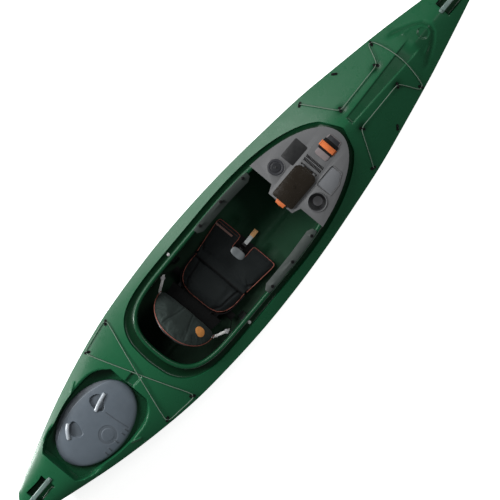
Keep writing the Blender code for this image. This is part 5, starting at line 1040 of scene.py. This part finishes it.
def makeBackPad():
    mesh = puffed("backrest_pad", lambda p: (p @ leanBack[:3, :3].T + leanBack[:3, 3])[:, 0] < 0.006)
    mesh.transform(leanFrame.inverted())
    places = readPlaces(mesh)
    places[:, 0] = np.maximum(places[:, 0], 0.0004)
    wide, deep = backForm["channelDip"]
    channel = band(np.abs(places[:, 1]), places[:, 2], backForm["channel"], wide)
    places[:, 0] -= np.where(places[:, 0] > 0.008, channel * deep, 0)
    writePlaces(mesh, places)
    surface = surfaceOf(mesh)
    mesh.transform(leanFrame)
    pad = fromMesh("backrestPad", mesh, padCloth, "backrest", 60)
    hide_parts("backrest_pad")

    # piping round the arc, at the back of the pad's edge
    crest = 0.298 - 0.048 * np.cos(np.linspace(0.0, math.pi / 2, 24))[1:]
    v = np.concatenate([np.linspace(0.05, 0.25, 30), crest])
    side = np.maximum(backHalf(v + 0.0005) + 0.0005, 0)
    arc = np.concatenate([np.column_stack([side, v]), np.column_stack([-side, v])[::-1]])
    arc = evenly(rounded(arc, 1), 0.004)
    path = np.column_stack([np.full(len(arc), backForm["pipeAt"]), arc])
    mesh = sweepMesh("backrestPiping", path, circle(backForm["pipeRadius"], 8), (1.0, 0.0, 0.0))
    mesh.transform(leanFrame)
    fromMesh("backrestPiping", mesh, pipingCord, "backrest")

    # a plain oval patch with a stitched rim
    wide, tall, thick = backForm["patch"]
    atV, atY = backForm["patchAt"]
    shares = np.linspace(0, 1, 9)[:, None]
    turn = np.linspace(0, 2 * math.pi, 49)[:-1]
    y = atY + wide * shares * np.cos(turn)
    up = atV + tall * shares * np.sin(turn)
    rim = 0.0006 * np.exp(-(((shares - 0.86) / 0.05) ** 2))
    rise = thick * np.sqrt(np.clip(1 - shares**6, 0, 1)) + rim
    x = onPad(surface, y.ravel(), up.ravel()).reshape(y.shape) + rise
    mesh = gridMesh("backrestPatch", np.stack([x, y, up], axis=-1), True)
    mesh.transform(leanFrame)
    fromMesh("backrestPatch", thickened(mesh, 0.0012), orangePatch, "backrest")


# a cloth skirt that closes the gap between the backrest's foot and the seat: a shallow trough in section,
# near-black as painted shade in the gap
def makeBackSkirt():
    y = np.linspace(-1, 1, 41)[None, :]
    t = np.linspace(0, 1, 15)[:, None]
    halfWide = 0.158 + 0.012 * t
    rearX, rearZ, frontX, frontZ = backForm["skirt"]
    x = rearX + (frontX - rearX) * t + 0.012 * (1 - np.abs(y) ** 4) * (t - 1)
    z = rearZ + (frontZ - rearZ) * t - 0.013 * ease((t - 0.80) / 0.20) + 0 * y
    mesh = gridMesh("backSkirt", np.stack([x, y * halfWide, z], axis=-1))
    skirt = fromMesh("backSkirt", thickened(mesh, 0.0016), skirtCloth, None, 60)
    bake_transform(skirt)


makeBackPad()
makeBackSkirt()
print("backrest")


# the mesh of a CAD shape with its edges rounded, for the pieces whose form is right already
def softMesh(name, width, segments=2, angle=32, finer=0):
    mesh = cleaned(nodes[name].data.copy(), 0.00003)
    if width:
        limit = {"limit_method": "ANGLE", "angle_limit": math.radians(angle)}
        mesh = modified(mesh, "BEVEL", width=width, segments=segments, **limit)
    return modified(mesh, "SUBSURF", levels=finer, render_levels=finer) if finer else mesh


def softened(name, paint, body, width=0.0012, segments=2, angle=32, smoothAngle=50, finer=0):
    words = name.split("_")
    called = words[0] + "".join(w.capitalize() for w in words[1:]) + "Form"
    piece = fromMesh(called, softMesh(name, width, segments, angle, finer), paint, body, smoothAngle)
    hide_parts(name)


# how far a point lies inside a closed outline, negative outside
def insideOf(x, y, outline):
    crossings = np.zeros(np.shape(x), dtype=int)
    outline = np.asarray(outline, dtype=float)
    nearest = lineDistance(x, y, np.concatenate([outline, outline[:1]]))
    for (ax, ay), (bx, by) in zip(outline, np.roll(outline, -1, axis=0)):
        over = (ay > y) != (by > y)
        at = ax + (y - ay) * (bx - ax) / (by - ay if by != ay else 1e-12)
        crossings += over & (x < at)
    return np.where(crossings % 2 == 1, nearest, -nearest)


# hatch: lid and its collar on the hull, the gasket left as it is
lidForm = {
    "centre": (-1.2528, 0.0, 0.2196), "half": (0.2645, 0.1835), "rows": 118, "turns": 360,
    "shares": [0, 0.35, 0.65, 0.80, 0.88, 0.93, 0.965, 0.985, 1.0],
    "heights": [0.029, 0.0275, 0.0235, 0.0195, 0.0165, 0.0140, 0.0112, 0.0085, 0.0040],
    "under": [
        (1.0, -0.016), (0.95, -0.016), (0.94, 0.0), (0.845, 0.0), (0.84, -0.012), (0.82, -0.012),
        (0.80, 0.008),
    ],
    "pockets": [
        [(-0.146, 0.0545), (-0.114, 0.0977), (-0.071, 0.1112), (-0.060, 0.0707), (-0.0918, -0.0022)],
        [
            (0.0594, 0.0977), (0.0864, 0.1166), (0.1242, 0.1031), (0.1404, 0.0707), (0.081, 0.0032),
            (0.054, 0.0383),
        ],
    ],
    "pocketFloor": 0.014, "pocketRun": 0.0055, "plate": 0.0050,
    "line": [(0.081, -0.004), (0.084, -0.060), (0.094, -0.150)], "lineDepth": 0.0016, "lineWidth": 0.0042,
    "disc": (-0.0054, -0.089, 0.054, 0.036), "discDepth": 0.0013,
    "stepAt": (0.150, 1.15), "stepDepth": 0.0040,
    "ticks": [-0.089, -0.0594, -0.0054, 0.0486, 0.0756], "tickY": (-0.140, -0.158), "tick": (0.0060, 0.0020),
    "bars": [
        [(-0.160, 0.058), (-0.136, 0.090), (-0.100, 0.115)], [(0.050, 0.044), (0.092, 0.058), (0.152, 0.068)]
    ],
    "barSize": (0.0105, 0.0065),
    "collar": [
        (0.9, -0.001), (0.9, 0.0145), (0.896, 0.016), (0.881, 0.016), (0.8773, 0.0145), (0.8773, -0.001),
        (0.9, -0.001),
    ],
}


# 1 beyond the curved step near the port edge: y > at - bend x^2
def lidStep(x, y):
    at, bend = lidForm["stepAt"]
    return ease((y - at + bend * x * x) / 0.006)


# the lid's plain dome, and how far out on it a point lies: 0 in the middle, 1 at the rim
def lidDome(x, y):
    share = np.hypot(x / lidForm["half"][0], y / lidForm["half"][1])
    return faired(share, np.array(lidForm["shares"]), np.array(lidForm["heights"])), share


# the ticks and the line, each 1 where it is full, and the distance from the middle of the disc
def lidMarks(x, y):
    near, far = lidForm["tickY"]
    ticks = [band(x, y, [(tick, near), (tick * 1.02, far)], lidForm["tick"][0]) for tick in lidForm["ticks"]]
    line = band(x, y, lidForm["line"], lidForm["lineWidth"])
    return np.max(ticks, axis=0), line, np.hypot(x - lidForm["disc"][0], y - lidForm["disc"][1])


def lidTop(x, y):
    z, share = lidDome(x, y)
    ticks, line, away = lidMarks(x, y)
    outer, inner = lidForm["disc"][2:]
    ring = ease((outer - away) / 0.004) - ease((inner - away) / 0.004)
    z = z - lidForm["stepDepth"] * lidStep(x, y) * ease((1.0 - share) / 0.03)
    z = z - lidForm["lineDepth"] * line - lidForm["discDepth"] * ring + lidForm["tick"][1] * ticks
    for corners in lidForm["pockets"]:
        sink = ease((insideOf(x, y, rounded(corners, 3, True)) + 0.001) / lidForm["pocketRun"])
        z = z + (lidForm["pocketFloor"] - z) * sink
    return z


def makeLid():
    oval = circle(1.0, lidForm["turns"]) * lidForm["half"]
    shares = np.concatenate([np.linspace(0, 0.97, lidForm["rows"]), [0.98, 0.99, 0.995, 1.0]])[:, None]
    x, y = shares * oval[:, 0], shares * oval[:, 1]
    top = np.stack([x, y, lidTop(x, y)], axis=-1)
    rim = [np.column_stack([oval * k, np.full(len(oval), z)]) for k, z in lidForm["under"]]
    shares = np.linspace(0.78, 0.0, 40)[:, None]
    x, y = shares * oval[:, 0], shares * oval[:, 1]
    z = lidTop(x, y)
    below = np.stack([x, y, z - lidForm["plate"] * np.where(z < 0.0155, 0.6, 1)], axis=-1)
    grid = np.concatenate([top, rim, below])
    # how dark each mark is: painted shade in the pockets, a painted shadow band beyond the step by the port
    # edge, and the darker ticks, line, ring and disc
    x, y = grid[:, :, 0], grid[:, :, 1]
    ticks, line, away = lidMarks(x, y)
    outer, inner = lidForm["disc"][2:]
    marks = [0.30 * ease(insideOf(x, y, rounded(corners, 3, True)) / 0.004) for corners in lidForm["pockets"]]
    marks += [0.45 * lidStep(x, y), ticks, 0.9 * line, 0.18 * ease((inner - away) / 0.004)]
    marks.append(0.35 * ease((outer - away) / 0.004) * ease((away - inner) / 0.004))
    mesh = gridMesh("hatchLid", grid, True, 0.000004, np.max(marks, axis=0))
    mesh.transform(Matrix.Translation(lidForm["centre"]))
    lid = fromMesh("hatchLid", mesh, lidPlastic, "hatch", 40)
    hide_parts("hatch_lid")
    bars = []
    for line in lidForm["bars"]:
        plan = evenly(rounded(line, 3), 0.004)
        lift = 0.0035 + 0.0045 * np.sin(np.linspace(0, math.pi, len(plan))) ** 0.5
        path = np.column_stack([plan, lidDome(plan[:, 0], plan[:, 1])[0] + lift - 0.003])
        bars.append(sweepMesh("bar", path, circle(1.0, 16) * lidForm["barSize"]))
    mesh = joined("lidGrips", bars)
    mesh.transform(Matrix.Translation(lidForm["centre"]))
    # the grips painted paler than the lid, a painted highlight
    fromMesh("lidGrips", mesh, gripGloss, "hatch")
    # the collar that the gasket lies on, moulded on the well's floor
    place = Matrix.Translation((lidForm["centre"][0], 0, hullForm["well"][2]))
    collar = turnedMesh("hatchCollar", lidForm["collar"], place, 160, lidForm["half"])
    fromMesh("hatchCollar", collar, hullPlastic, "hull", 30)


makeLid()
print("hatch")


# console: its frame lies on the coaming's slope, x along the slope, z off it
slope = math.atan(hullForm["coamingHeights"][2])
slopeStart = (hullForm["coaming"][1], 0, hullForm["coamingHeights"][1])
slopeFrame = Matrix.Translation(slopeStart) @ Matrix.Rotation(-slope, 4, "Y")
consoleForm = {
    "top": 0.0053, "cup": (0.429, -0.148, 0.052, 0.075), "insert": (0.429, 0.1425, 0.045),
    "tray": [(0.497, -0.081), (0.497, -0.178), (0.572, -0.176), (0.628, -0.146), (0.628, -0.081)],
    "label": [(0.491, 0.078), (0.491, 0.163), (0.618, 0.163), (0.618, 0.078)],
    "ribs": [(0.534, 0.003, 13), (0.562, 0.011, 14), (0.583, 0.009, 14)], "ribPitch": 0.0084,
    "ribSize": (0.0031, 0.0012), "lid": (0.308, 0.524, 0.069, 0.0057, 0.0176), "leaf": (0.5325, 0.028),
    "boss": (0.4104, 0.009, 0.003), "base": (0.621, 0.751, -0.043, 0.038, 0.0056),
    "latch": (0.2845, 0.3075, 0.0290, 0.0100, 0.0172),
    "insertRing": [
        (0, 0.0070), (0.0300, 0.0070), (0.0308, 0.0076), (0.0322, 0.0092), (0.0340, 0.0100), (0.0405, 0.0102),
        (0.0432, 0.0096), (0.0447, 0.0080), (0.0447, 0.0005), (0, 0.0005),
    ],
    "insertDisc": [
        (0, 0.0090), (0.0135, 0.0090), (0.0142, 0.0084), (0.0165, 0.0084), (0.0172, 0.0090), (0.0272, 0.0090),
        (0.0284, 0.0084), (0.0284, 0.0066), (0, 0.0066),
    ],
    "insertStud": [
        (0, 0.0122), (0.0030, 0.0119), (0.0050, 0.0110), (0.0056, 0.0095), (0.0056, 0.0080), (0, 0.0080)
    ],
}


def alongSlope(x):
    return (x - slopeStart[0]) / math.cos(slope)


def onSlope(x, y, z):
    return slopeFrame @ Matrix.Translation((alongSlope(x), y, z))


# an outline whose corners are turned into curves that start a radius before each corner
def cornered(outline, radius, steps=6):
    found = []
    for before, at, after in zip(np.roll(outline, 1, axis=0), outline, np.roll(outline, -1, axis=0)):
        a = at + (before - at) * min(radius / np.linalg.norm(before - at), 0.5)
        b = at + (after - at) * min(radius / np.linalg.norm(after - at), 0.5)
        for t in np.linspace(0, 1, steps):
            found.append(a * (1 - t) ** 2 + at * 2 * t * (1 - t) + b * t * t)
    return np.array(found)


# a flat panel with rounded corners and edges over an outline, from low to high
def panelMesh(name, outline, low, high, edge, corner=0.010):
    outline = np.array([(alongSlope(x), y) for x, y in outline])
    if corner:
        outline = cornered(outline, corner)
    ahead = unit(np.roll(outline, -1, axis=0) - np.roll(outline, 1, axis=0))
    inward = np.stack([-ahead[:, 1], ahead[:, 0]], axis=1)
    if ((outline.mean(axis=0) - outline) * inward).sum() < 0:
        inward = -inward
    rings = [(0.0, low), (0.0, high - edge), (edge * 0.3, high - edge * 0.3), (edge, high)]
    grid = [np.column_stack([outline + inward * step, np.full(len(outline), z)]) for step, z in rings]
    mesh = cleaned(meshOf(name, grid, tubeFaces(len(rings), len(outline))), 0.000002)
    mesh.transform(slopeFrame)
    return mesh


def panel(name, outline, low, high, edge, paint, corner=0.010):
    return fromMesh(name, panelMesh(name, outline, low, high, edge, corner), paint, "console", 35)


def turnedPiece(name, profile, place, steps, paint, smoothAngle=35):
    return fromMesh(name, turnedMesh(name, profile, place, steps), paint, "console", smoothAngle)


# corners of a rectangle cut at the given sizes: rear pair, front pair
def cutCorners(rear, front, wide, rearCut, frontCut):
    edge = [(rear, rearCut - wide), (rear + rearCut, -wide)]
    edge += [(front - frontCut, -wide), (front, frontCut - wide)]
    return edge + [(x, -y) for x, y in edge[::-1]]


def makeConsole():
    softened("console", consolePlastic, "console", 0.0011, 2, 40)
    top = consoleForm["top"]
    # cup: a smooth liner with a rolled rim, and a pad on its bottom whose pale colour is painted light on the
    # cup's floor
    x, y, radius, depth = consoleForm["cup"]
    rim = [
        (-0.0041, 0.0022), (-0.0030, 0.0042), (-0.0005, 0.0050), (0.0016, 0.0040), (0.0022, 0.0015),
        (0.0022, -0.001), (-0.0020, -0.001),
    ]
    liner = [
        (0, 0.0042 - depth), (radius - 0.012, 0.0042 - depth), (radius - 0.0078, 0.0062 - depth),
        (radius - 0.0068, 0.010 - depth), *[(radius + out, top + up) for out, up in rim],
        (radius - 0.0064, 0.009 - depth), (0, 0.0030 - depth),
    ]
    pad = [(0, 0.0065), (0.030, 0.0065), (0.034, 0.0055), (0.035, 0.0035), (0, 0.0035)]
    turnedPiece("cupLiner", liner, onSlope(x, y, 0), 72, consoleDark, 40)
    turnedPiece("cupPad", pad, onSlope(x, y, -depth), 48, cupPale, 40)
    # round insert: a dark ring, a paler disc and a small stud
    x, y, radius = consoleForm["insert"]
    place = onSlope(x, y, top + 0.002 - 0.010 + 0.0003)
    ring = turnedPiece("insertRing", consoleForm["insertRing"], place, 72, insertPlastic)
    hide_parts("round_insert")
    turnedPiece("insertDisc", consoleForm["insertDisc"], place, 64, panelDark)
    turnedPiece("insertStud", consoleForm["insertStud"], place, 32, blackPlastic)
    # tray: a paler panel let into the rim
    tray = np.array(consoleForm["tray"])
    middle = tray.mean(axis=0)
    panel("trayPanel", middle + (tray - middle) * 0.93, 0.0012, 0.0034, 0.0008, trayPlastic)
    # a plain panel where the label was, and columns of short ribs
    panel("plainPanel", consoleForm["label"], top - 0.0005, top + 0.0006, 0.0003, blackPlastic)
    ribs = []
    for x, length, count in consoleForm["ribs"]:
        for k in range(count):
            y = (k - (count - 1) / 2) * consoleForm["ribPitch"]
            line = [(x - length / 2 - 0.003, y - 0.002), (x + length / 2 + 0.003, y + 0.003)]
            path = [(alongSlope(a), b, top) for a, b in evenly(line, 0.003)]
            ribs.append(sweepMesh("rib", path, circle(1.0, 10) * consoleForm["ribSize"]))
    mesh = joined("consoleRibs", ribs)
    mesh.transform(slopeFrame)
    fromMesh("consoleRibs", mesh, screwBlack, "console")

    # dry box lid: large corner cuts at the front, a raised rim, a boss, and a leaf at the hinge
    rear, front, wide, low, high = consoleForm["lid"]
    outer = cutCorners(rear, front, wide, 0.008, 0.020)
    inner = cutCorners(rear + 0.008, front - 0.010, wide - 0.008, 0.006, 0.016)
    x, radius, height = consoleForm["boss"]
    boss = [
        (0, height), (0.0035, height), (0.0045, height * 0.6), (0.0060, height * 0.6), (0.0072, height),
        (radius - 0.0006, height * 0.9), (radius, -0.001), (0, -0.001),
    ]
    skin = [
        panelMesh("lid", outer, low, high - 0.0012, 0.0020, 0.006),
        panelMesh("lid", inner, low, high, 0.0010, 0.006), turnedMesh("boss", boss, onSlope(x, 0, high), 40),
    ]
    lid = fromMesh("dryBoxLid", joined("dryBoxLid", skin), smokedPlastic, "dry_lid", 35)
    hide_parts("dry_box_lid")
    tip, wide = consoleForm["leaf"]
    leaf = [(front - 0.004, wide), (front - 0.004, -wide), (tip, -wide), (tip, wide)]
    leaf = panelMesh("dryLidLeaf", leaf, top + 0.003, high - 0.003, 0.0012, 0.003)
    fromMesh("dryLidLeaf", leaf, smokedPlastic, "dry_lid", 35)

    # latch: a crescent with a rounded lip, over the leg that holds it
    rear, front, wide, low, high = consoleForm["latch"]
    crescent = [(rear + 0.010 * b * b, wide * b) for b in np.linspace(-1, 1, 15)]
    crescent += [(front, wide * b) for b in (0.98, -0.98)]
    mesh = panelMesh("lidLatch", crescent, low, high, 0.0020, 0)
    latch = fromMesh("lidLatch", mesh, orangePlastic, "latch", 35)
    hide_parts("lid_latch")
    fromMesh("latchLeg", softMesh("lid_latch", 0.0006, 1), orangePlastic, "latch", 35)

    # gear base: a pale plate, a black frame round the strap and a dark front
    rear, front, right, left, low = consoleForm["base"]
    plate = [(rear, left), (rear, right), (front, right), (front, left)]
    base = panel("gearBase", plate, low, 0.0093, 0.0012, gearPale, 0.014)
    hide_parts("gear_base")
    tip = front - 0.002
    dark = [(0.711, left - 0.001), (0.711, right + 0.001), (tip, right + 0.006), (tip, left - 0.006)]
    panel("gearFront", dark, low, 0.0100, 0.0012, panelDark, 0.006)
    dark = [(0.656, left + 0.005), (0.656, right - 0.006), (0.722, right - 0.006), (0.722, left + 0.005)]
    panel("gearFrame", dark, low, 0.0110, 0.0012, screwBlack, 0.006)
    softened("gear_strap", orangeWeb, "console", 0.0005, 1, 40, 60)


makeConsole()
print("console")


# straps: points in metres, of the port side, and widths and thicknesses of the webbing
strapForm = {
    "size": (0.0155, 0.0018), "up": 0.055,
    "root": [(-0.0078, -0.024, 0.0), (-0.0078, -0.003, 0.0), (0.002, 0.006, 0.004)],
    "run": [(-0.446, 0.214, 0.148), (-0.412, 0.2335, 0.133), (-0.407, 0.2350, 0.124)],
    "low": [
        (-0.412, 0.2335, 0.131), (-0.406, 0.2352, 0.120), (-0.390, 0.2290, 0.098), (-0.362, 0.2125, 0.070)
    ],
    "buckle": (-0.424, 0.2265, 0.1392), "buckleHalf": (0.009, 0.0115), "buckleWire": (0.0019, 0.0021),
    "lifter": [(0.0095, 0.052), (0.020, 0.0555), (0.034, 0.0555), (0.048, 0.0515), (0.0653, 0.043)],
    "lifterSize": (0.024, 0.0022),
    "tab": [(0.0640, 0.0436), (0.076, 0.0372), (0.088, 0.0315), (0.108, 0.0262)], "tabSize": (0.027, 0.0042),
}


def makeStrap(side, name):
    called = name.capitalize()
    flip = np.array((1, side, 1))
    section = roundedBar(*strapForm["size"])
    v = strapForm["up"]
    edge = float(backHalf(np.array([v]))[0])
    near = [leanFrame @ Vector((x, side * (edge + out), v - drop)) for x, out, drop in strapForm["root"]]
    path = evenly(rounded([tuple(p) for p in near] + [tuple(flip * p) for p in strapForm["run"]], 3), 0.004)
    # the webbing faces off the shell at its root, then upwards, and outboard where it falls to the seat
    share = np.linspace(0, 1, len(path))[:, None]
    fall = np.clip((share - 0.86) * 8, 0, 1)
    back = np.array(leanFrame.to_3x3() @ Vector((-1, 0, 0.0)))
    out = np.array((-0.1, side * 0.25, 0.96))
    facing = out * (1 - fall) + np.array((0.6, side * 0.8, 0.1)) * fall
    ups = unit(back * np.clip(1 - share * 5, 0, 1) + facing * np.clip(share * 5, 0, 1) + 1e-6)
    mesh = sweepMesh("backrestStrap", path, section, ups)
    strap = fromMesh("backrestStrap" + called, mesh, paleWeb, None, 60)
    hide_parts("backrest_strap_" + name)
    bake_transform(strap)
    # the strap's lower run in near-black cloth: painted shade under the coaming
    low = evenly(rounded(np.array(strapForm["low"]) * flip, 3), 0.004)
    mesh = sweepMesh("strapRun", low, section, unit(np.array((0.6, side * 0.8, 0.2))))
    fromMesh("strapRun" + called, mesh, skirtCloth, "seat", 60)
    # a ladder buckle near the lower end, its frame turned to lie on the webbing
    start, end = flip * strapForm["run"][0], flip * strapForm["run"][1]
    ahead = unit(end - start)
    up = unit(out - ahead * (out @ ahead))
    at = flip * strapForm["buckle"] + up * 0.0012
    turn = Matrix(np.column_stack([ahead, np.cross(up, ahead), up, at]).tolist() + [[0, 0, 0, 1]])
    long, wide = strapForm["buckleHalf"]
    loop = rounded([(long, wide), (-long, wide), (-long, -wide), (long, -wide)], 3, True)
    thin, thick = strapForm["buckleWire"]
    ring = sweepMesh("buckle", np.column_stack([loop, 0 * loop[:, 0]]), circle(thin, 10), closed=True)
    bar = sweepMesh("buckle", [(0.001, y, 0.0) for y in np.linspace(-0.011, 0.011, 5)], circle(thick, 10))
    mesh = joined("buckle", [ring, bar])
    mesh.transform(turn)
    fromMesh("strapBuckle" + called, mesh, cupPale, "seat")


# a strap that lies along the centre line
def centreStrap(name, points, size, paint, replaced):
    path = evenly(rounded([(x, 0.0, z) for x, z in points], 3), 0.003)
    piece = fromMesh(name, sweepMesh(name, path, roundedBar(*size)), paint, "seat", 60)
    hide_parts(replaced)


makeStrap(1, "port")
makeStrap(-1, "starboard")
centreStrap("lifterStrap", strapForm["lifter"], strapForm["lifterSize"], greyWeb, "lifter_strap")
# the tab in its brightened webbing, partly painted light
centreStrap("strapTab", strapForm["tab"], strapForm["tabSize"], tabWeb, "strap_tab")
softened("lifter_buckle", blackPlastic, "seat", 0.0012)
for name in ("bow_bungee", "stern_bungee"):
    softened(name, cordBraid, "hull", 0.0, 1, 32, 60, 1)
for name in ("bow_handle", "stern_handle"):
    softened(name, handlePlastic, "hull", 0.0020, 3, 26)
for side in ("port", "starboard"):
    softened("thigh_brace_" + side, bracePlastic, "hull", 0.0016, 2)
    softened("foot_pedal_" + side, blackPlastic, "pedal_" + side, 0.0010, 2)
softened("seat_base", screwBlack, "seat", 0.0008, 1)
softened("backrest_shell", blackPlastic, "backrest", 0.0012, 2)
print("straps and fittings")


# screw heads on the thigh braces: places along x, how far inboard of the bead, radius and height
screwForm = {"along": [-0.073, 0.097, 0.270], "inboard": 0.0225, "size": (0.0088, 0.0030)}


def makeScrews():
    surface = surfaceOf(nodes["thigh_brace_port"].data, nodes["thigh_brace_starboard"].data)
    bead = coamingEdge(150)
    radius, height = screwForm["size"]
    profile = [
        (0, height * 0.55), (radius * 0.30, height * 0.55), (radius * 0.36, height),
        (radius * 0.75, height * 0.85), (radius, height * 0.2), (radius, -0.001), (0, -0.001),
    ]
    heads = []
    for x in screwForm["along"]:
        for side in (1, -1):
            y = side * (float(np.interp(x, bead[:, 0], bead[:, 1])) - screwForm["inboard"])
            at, facing = surface.ray_cast(Vector((x, y, 1.0)), Vector((0, 0, -1)))[:2]
            if at:
                turn = Vector((0, 0, 1)).rotation_difference(facing).to_matrix().to_4x4()
                heads.append(turnedMesh("screw", profile, Matrix.Translation(at) @ turn, 28))
    fromMesh("braceScrews", joined("braceScrews", heads), screwBlack, "hull", 35)


makeScrews()


# lever: oval grip drawn in at its middle, on a leaning stem
leverForm = {
    "grip": (-0.0567, 0.0, 0.168), "half": (0.0245, 0.043, 0.0072), "stem": 0.0056, "barrel": 0.0075,
    "route": [
        (-0.030, 0, 0.062), (-0.026, 0, 0.097), (-0.030, 0, 0.132), (-0.0447, 0, 0.156), (-0.0567, 0, 0.1665)
    ],
}


def makeLever():
    t = np.linspace(0, math.pi, 25)[:, None]
    flat = np.abs(np.sin(t)) ** 0.75
    # a squarish oval, slightly hollow in the middle of its top
    x, y = np.sign(circle(1.0, 40).T) * np.abs(circle(1.0, 40).T) ** 0.72
    x, y = leverForm["half"][0] * flat * x, leverForm["half"][1] * flat * y
    z = leverForm["half"][2] * np.cos(t) + 0 * x
    z = z - 0.0016 * np.exp(-((y / 0.016) ** 2)) * (z > 0)
    mesh = gridMesh("leverGrip", np.stack([x, y, z], axis=-1), True, 0.000004)
    mesh.transform(Matrix.Translation(leverForm["grip"]))
    grip = fromMesh("leverGrip", mesh, gripPlastic, "lever", 60)
    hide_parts("slide_lever")
    path = evenly(rounded(leverForm["route"], 3), 0.004)
    stem = sweepMesh("leverStem", path, circle(leverForm["stem"], 20), (0.0, 1.0, 0.0))
    barrel = [(-0.030, y, 0.062) for y in np.linspace(-0.0098, 0.0098, 5)]
    barrel = sweepMesh("barrel", barrel, circle(leverForm["barrel"], 24))
    fromMesh("leverStem", joined("leverStem", [stem, barrel]), blackPlastic, "lever", 50)


makeLever()
print("lever")


# studio: a pale floor, an even white room, the camera above and a little aft, and three soft lamps, each
# given by name, watts, size, height and side in degrees, and distance
studio = {
    "scale": 0.0054, "distance": 8.5, "heading": 50.1, "middle": (0.0, -0.037, 0.25), "lean": 1.5,
    "lamps": [
        ("keyLight", 360.0, (1.2, 1.0), 22.0, 134.0, 6.0), ("fillLight", 520.0, (6.0, 3.6), 39.0, 99.0, 7.5),
        ("topLight", 130.0, (2.4, 2.4), 50.0, -5.0, 7.5),
    ],
    "room": 0.15, "floor": (0.80, 0.80, 0.80), "floorGlow": 0.80, "floorReach": 90.0,
}


def makeStudio():
    reach = studio["floorReach"]
    corners = [(-reach, -reach, 0), (reach, -reach, 0), (reach, reach, 0), (-reach, reach, 0)]
    floor = looseObject("studioFloor", meshOf("studioFloor", corners, [(0, 1, 2, 3)]))
    paint = Paint("studioFloor")
    # the floor shows white to the eye and to reflections, and still keeps the shadow
    rays = ("Is Camera Ray", "Is Glossy Ray", "Is Transmission Ray")
    seen = [paint.node("LightPath", out=name) for name in rays]
    glow = (seen[0] + seen[1] + seen[2]) * studio["floorGlow"]
    white = paint.node("CombineColor", {}, {0: glow, 1: glow, 2: glow})
    floor.data.materials.append(paint.finish(
        Base_Color=studio["floor"], Roughness=0.9, Specular_IOR_Level=0.1, Emission_Color=white,
        Emission_Strength=1.0
    ))
    floor.location.z = -0.0005

    world = bpy.data.worlds.new("studioRoom")
    world.use_nodes = True
    bpy.context.scene.world = world
    room = world.node_tree.nodes["Background"].inputs
    room["Color"].default_value = (1, 1, 1, 1)
    room["Strength"].default_value = studio["room"]

    for name, power, size, height, side, away in studio["lamps"]:
        light = bpy.data.lights.new(name, "AREA")
        light.shape = "RECTANGLE"
        light.size, light.size_y = size
        light.energy = power
        lamp = looseObject(name, light)
        height, side = math.radians(height), math.radians(side)
        way = Vector((math.cos(side) * math.cos(height), math.sin(side) * math.cos(height), math.sin(height)))
        lamp.location = way * away
        lamp.rotation_euler = way.to_track_quat("Z", "Y").to_euler()

    camera = bpy.data.cameras.new("camera")
    camera.sensor_width = 36
    camera.lens = 36 * studio["distance"] / (500 * studio["scale"])
    eye = looseObject("camera", camera)
    lean = Matrix.Rotation(-math.radians(studio["lean"]), 4, "X")
    eye.matrix_world = (
        Matrix.Translation(studio["middle"]) @ lean @ Matrix.Translation((0, 0, studio["distance"]))
        @ Matrix.Rotation(-math.radians(studio["heading"]), 4, "Z")
    )
    bpy.context.scene.camera = eye
    bpy.context.scene.view_settings.view_transform = "Standard"


makeStudio()
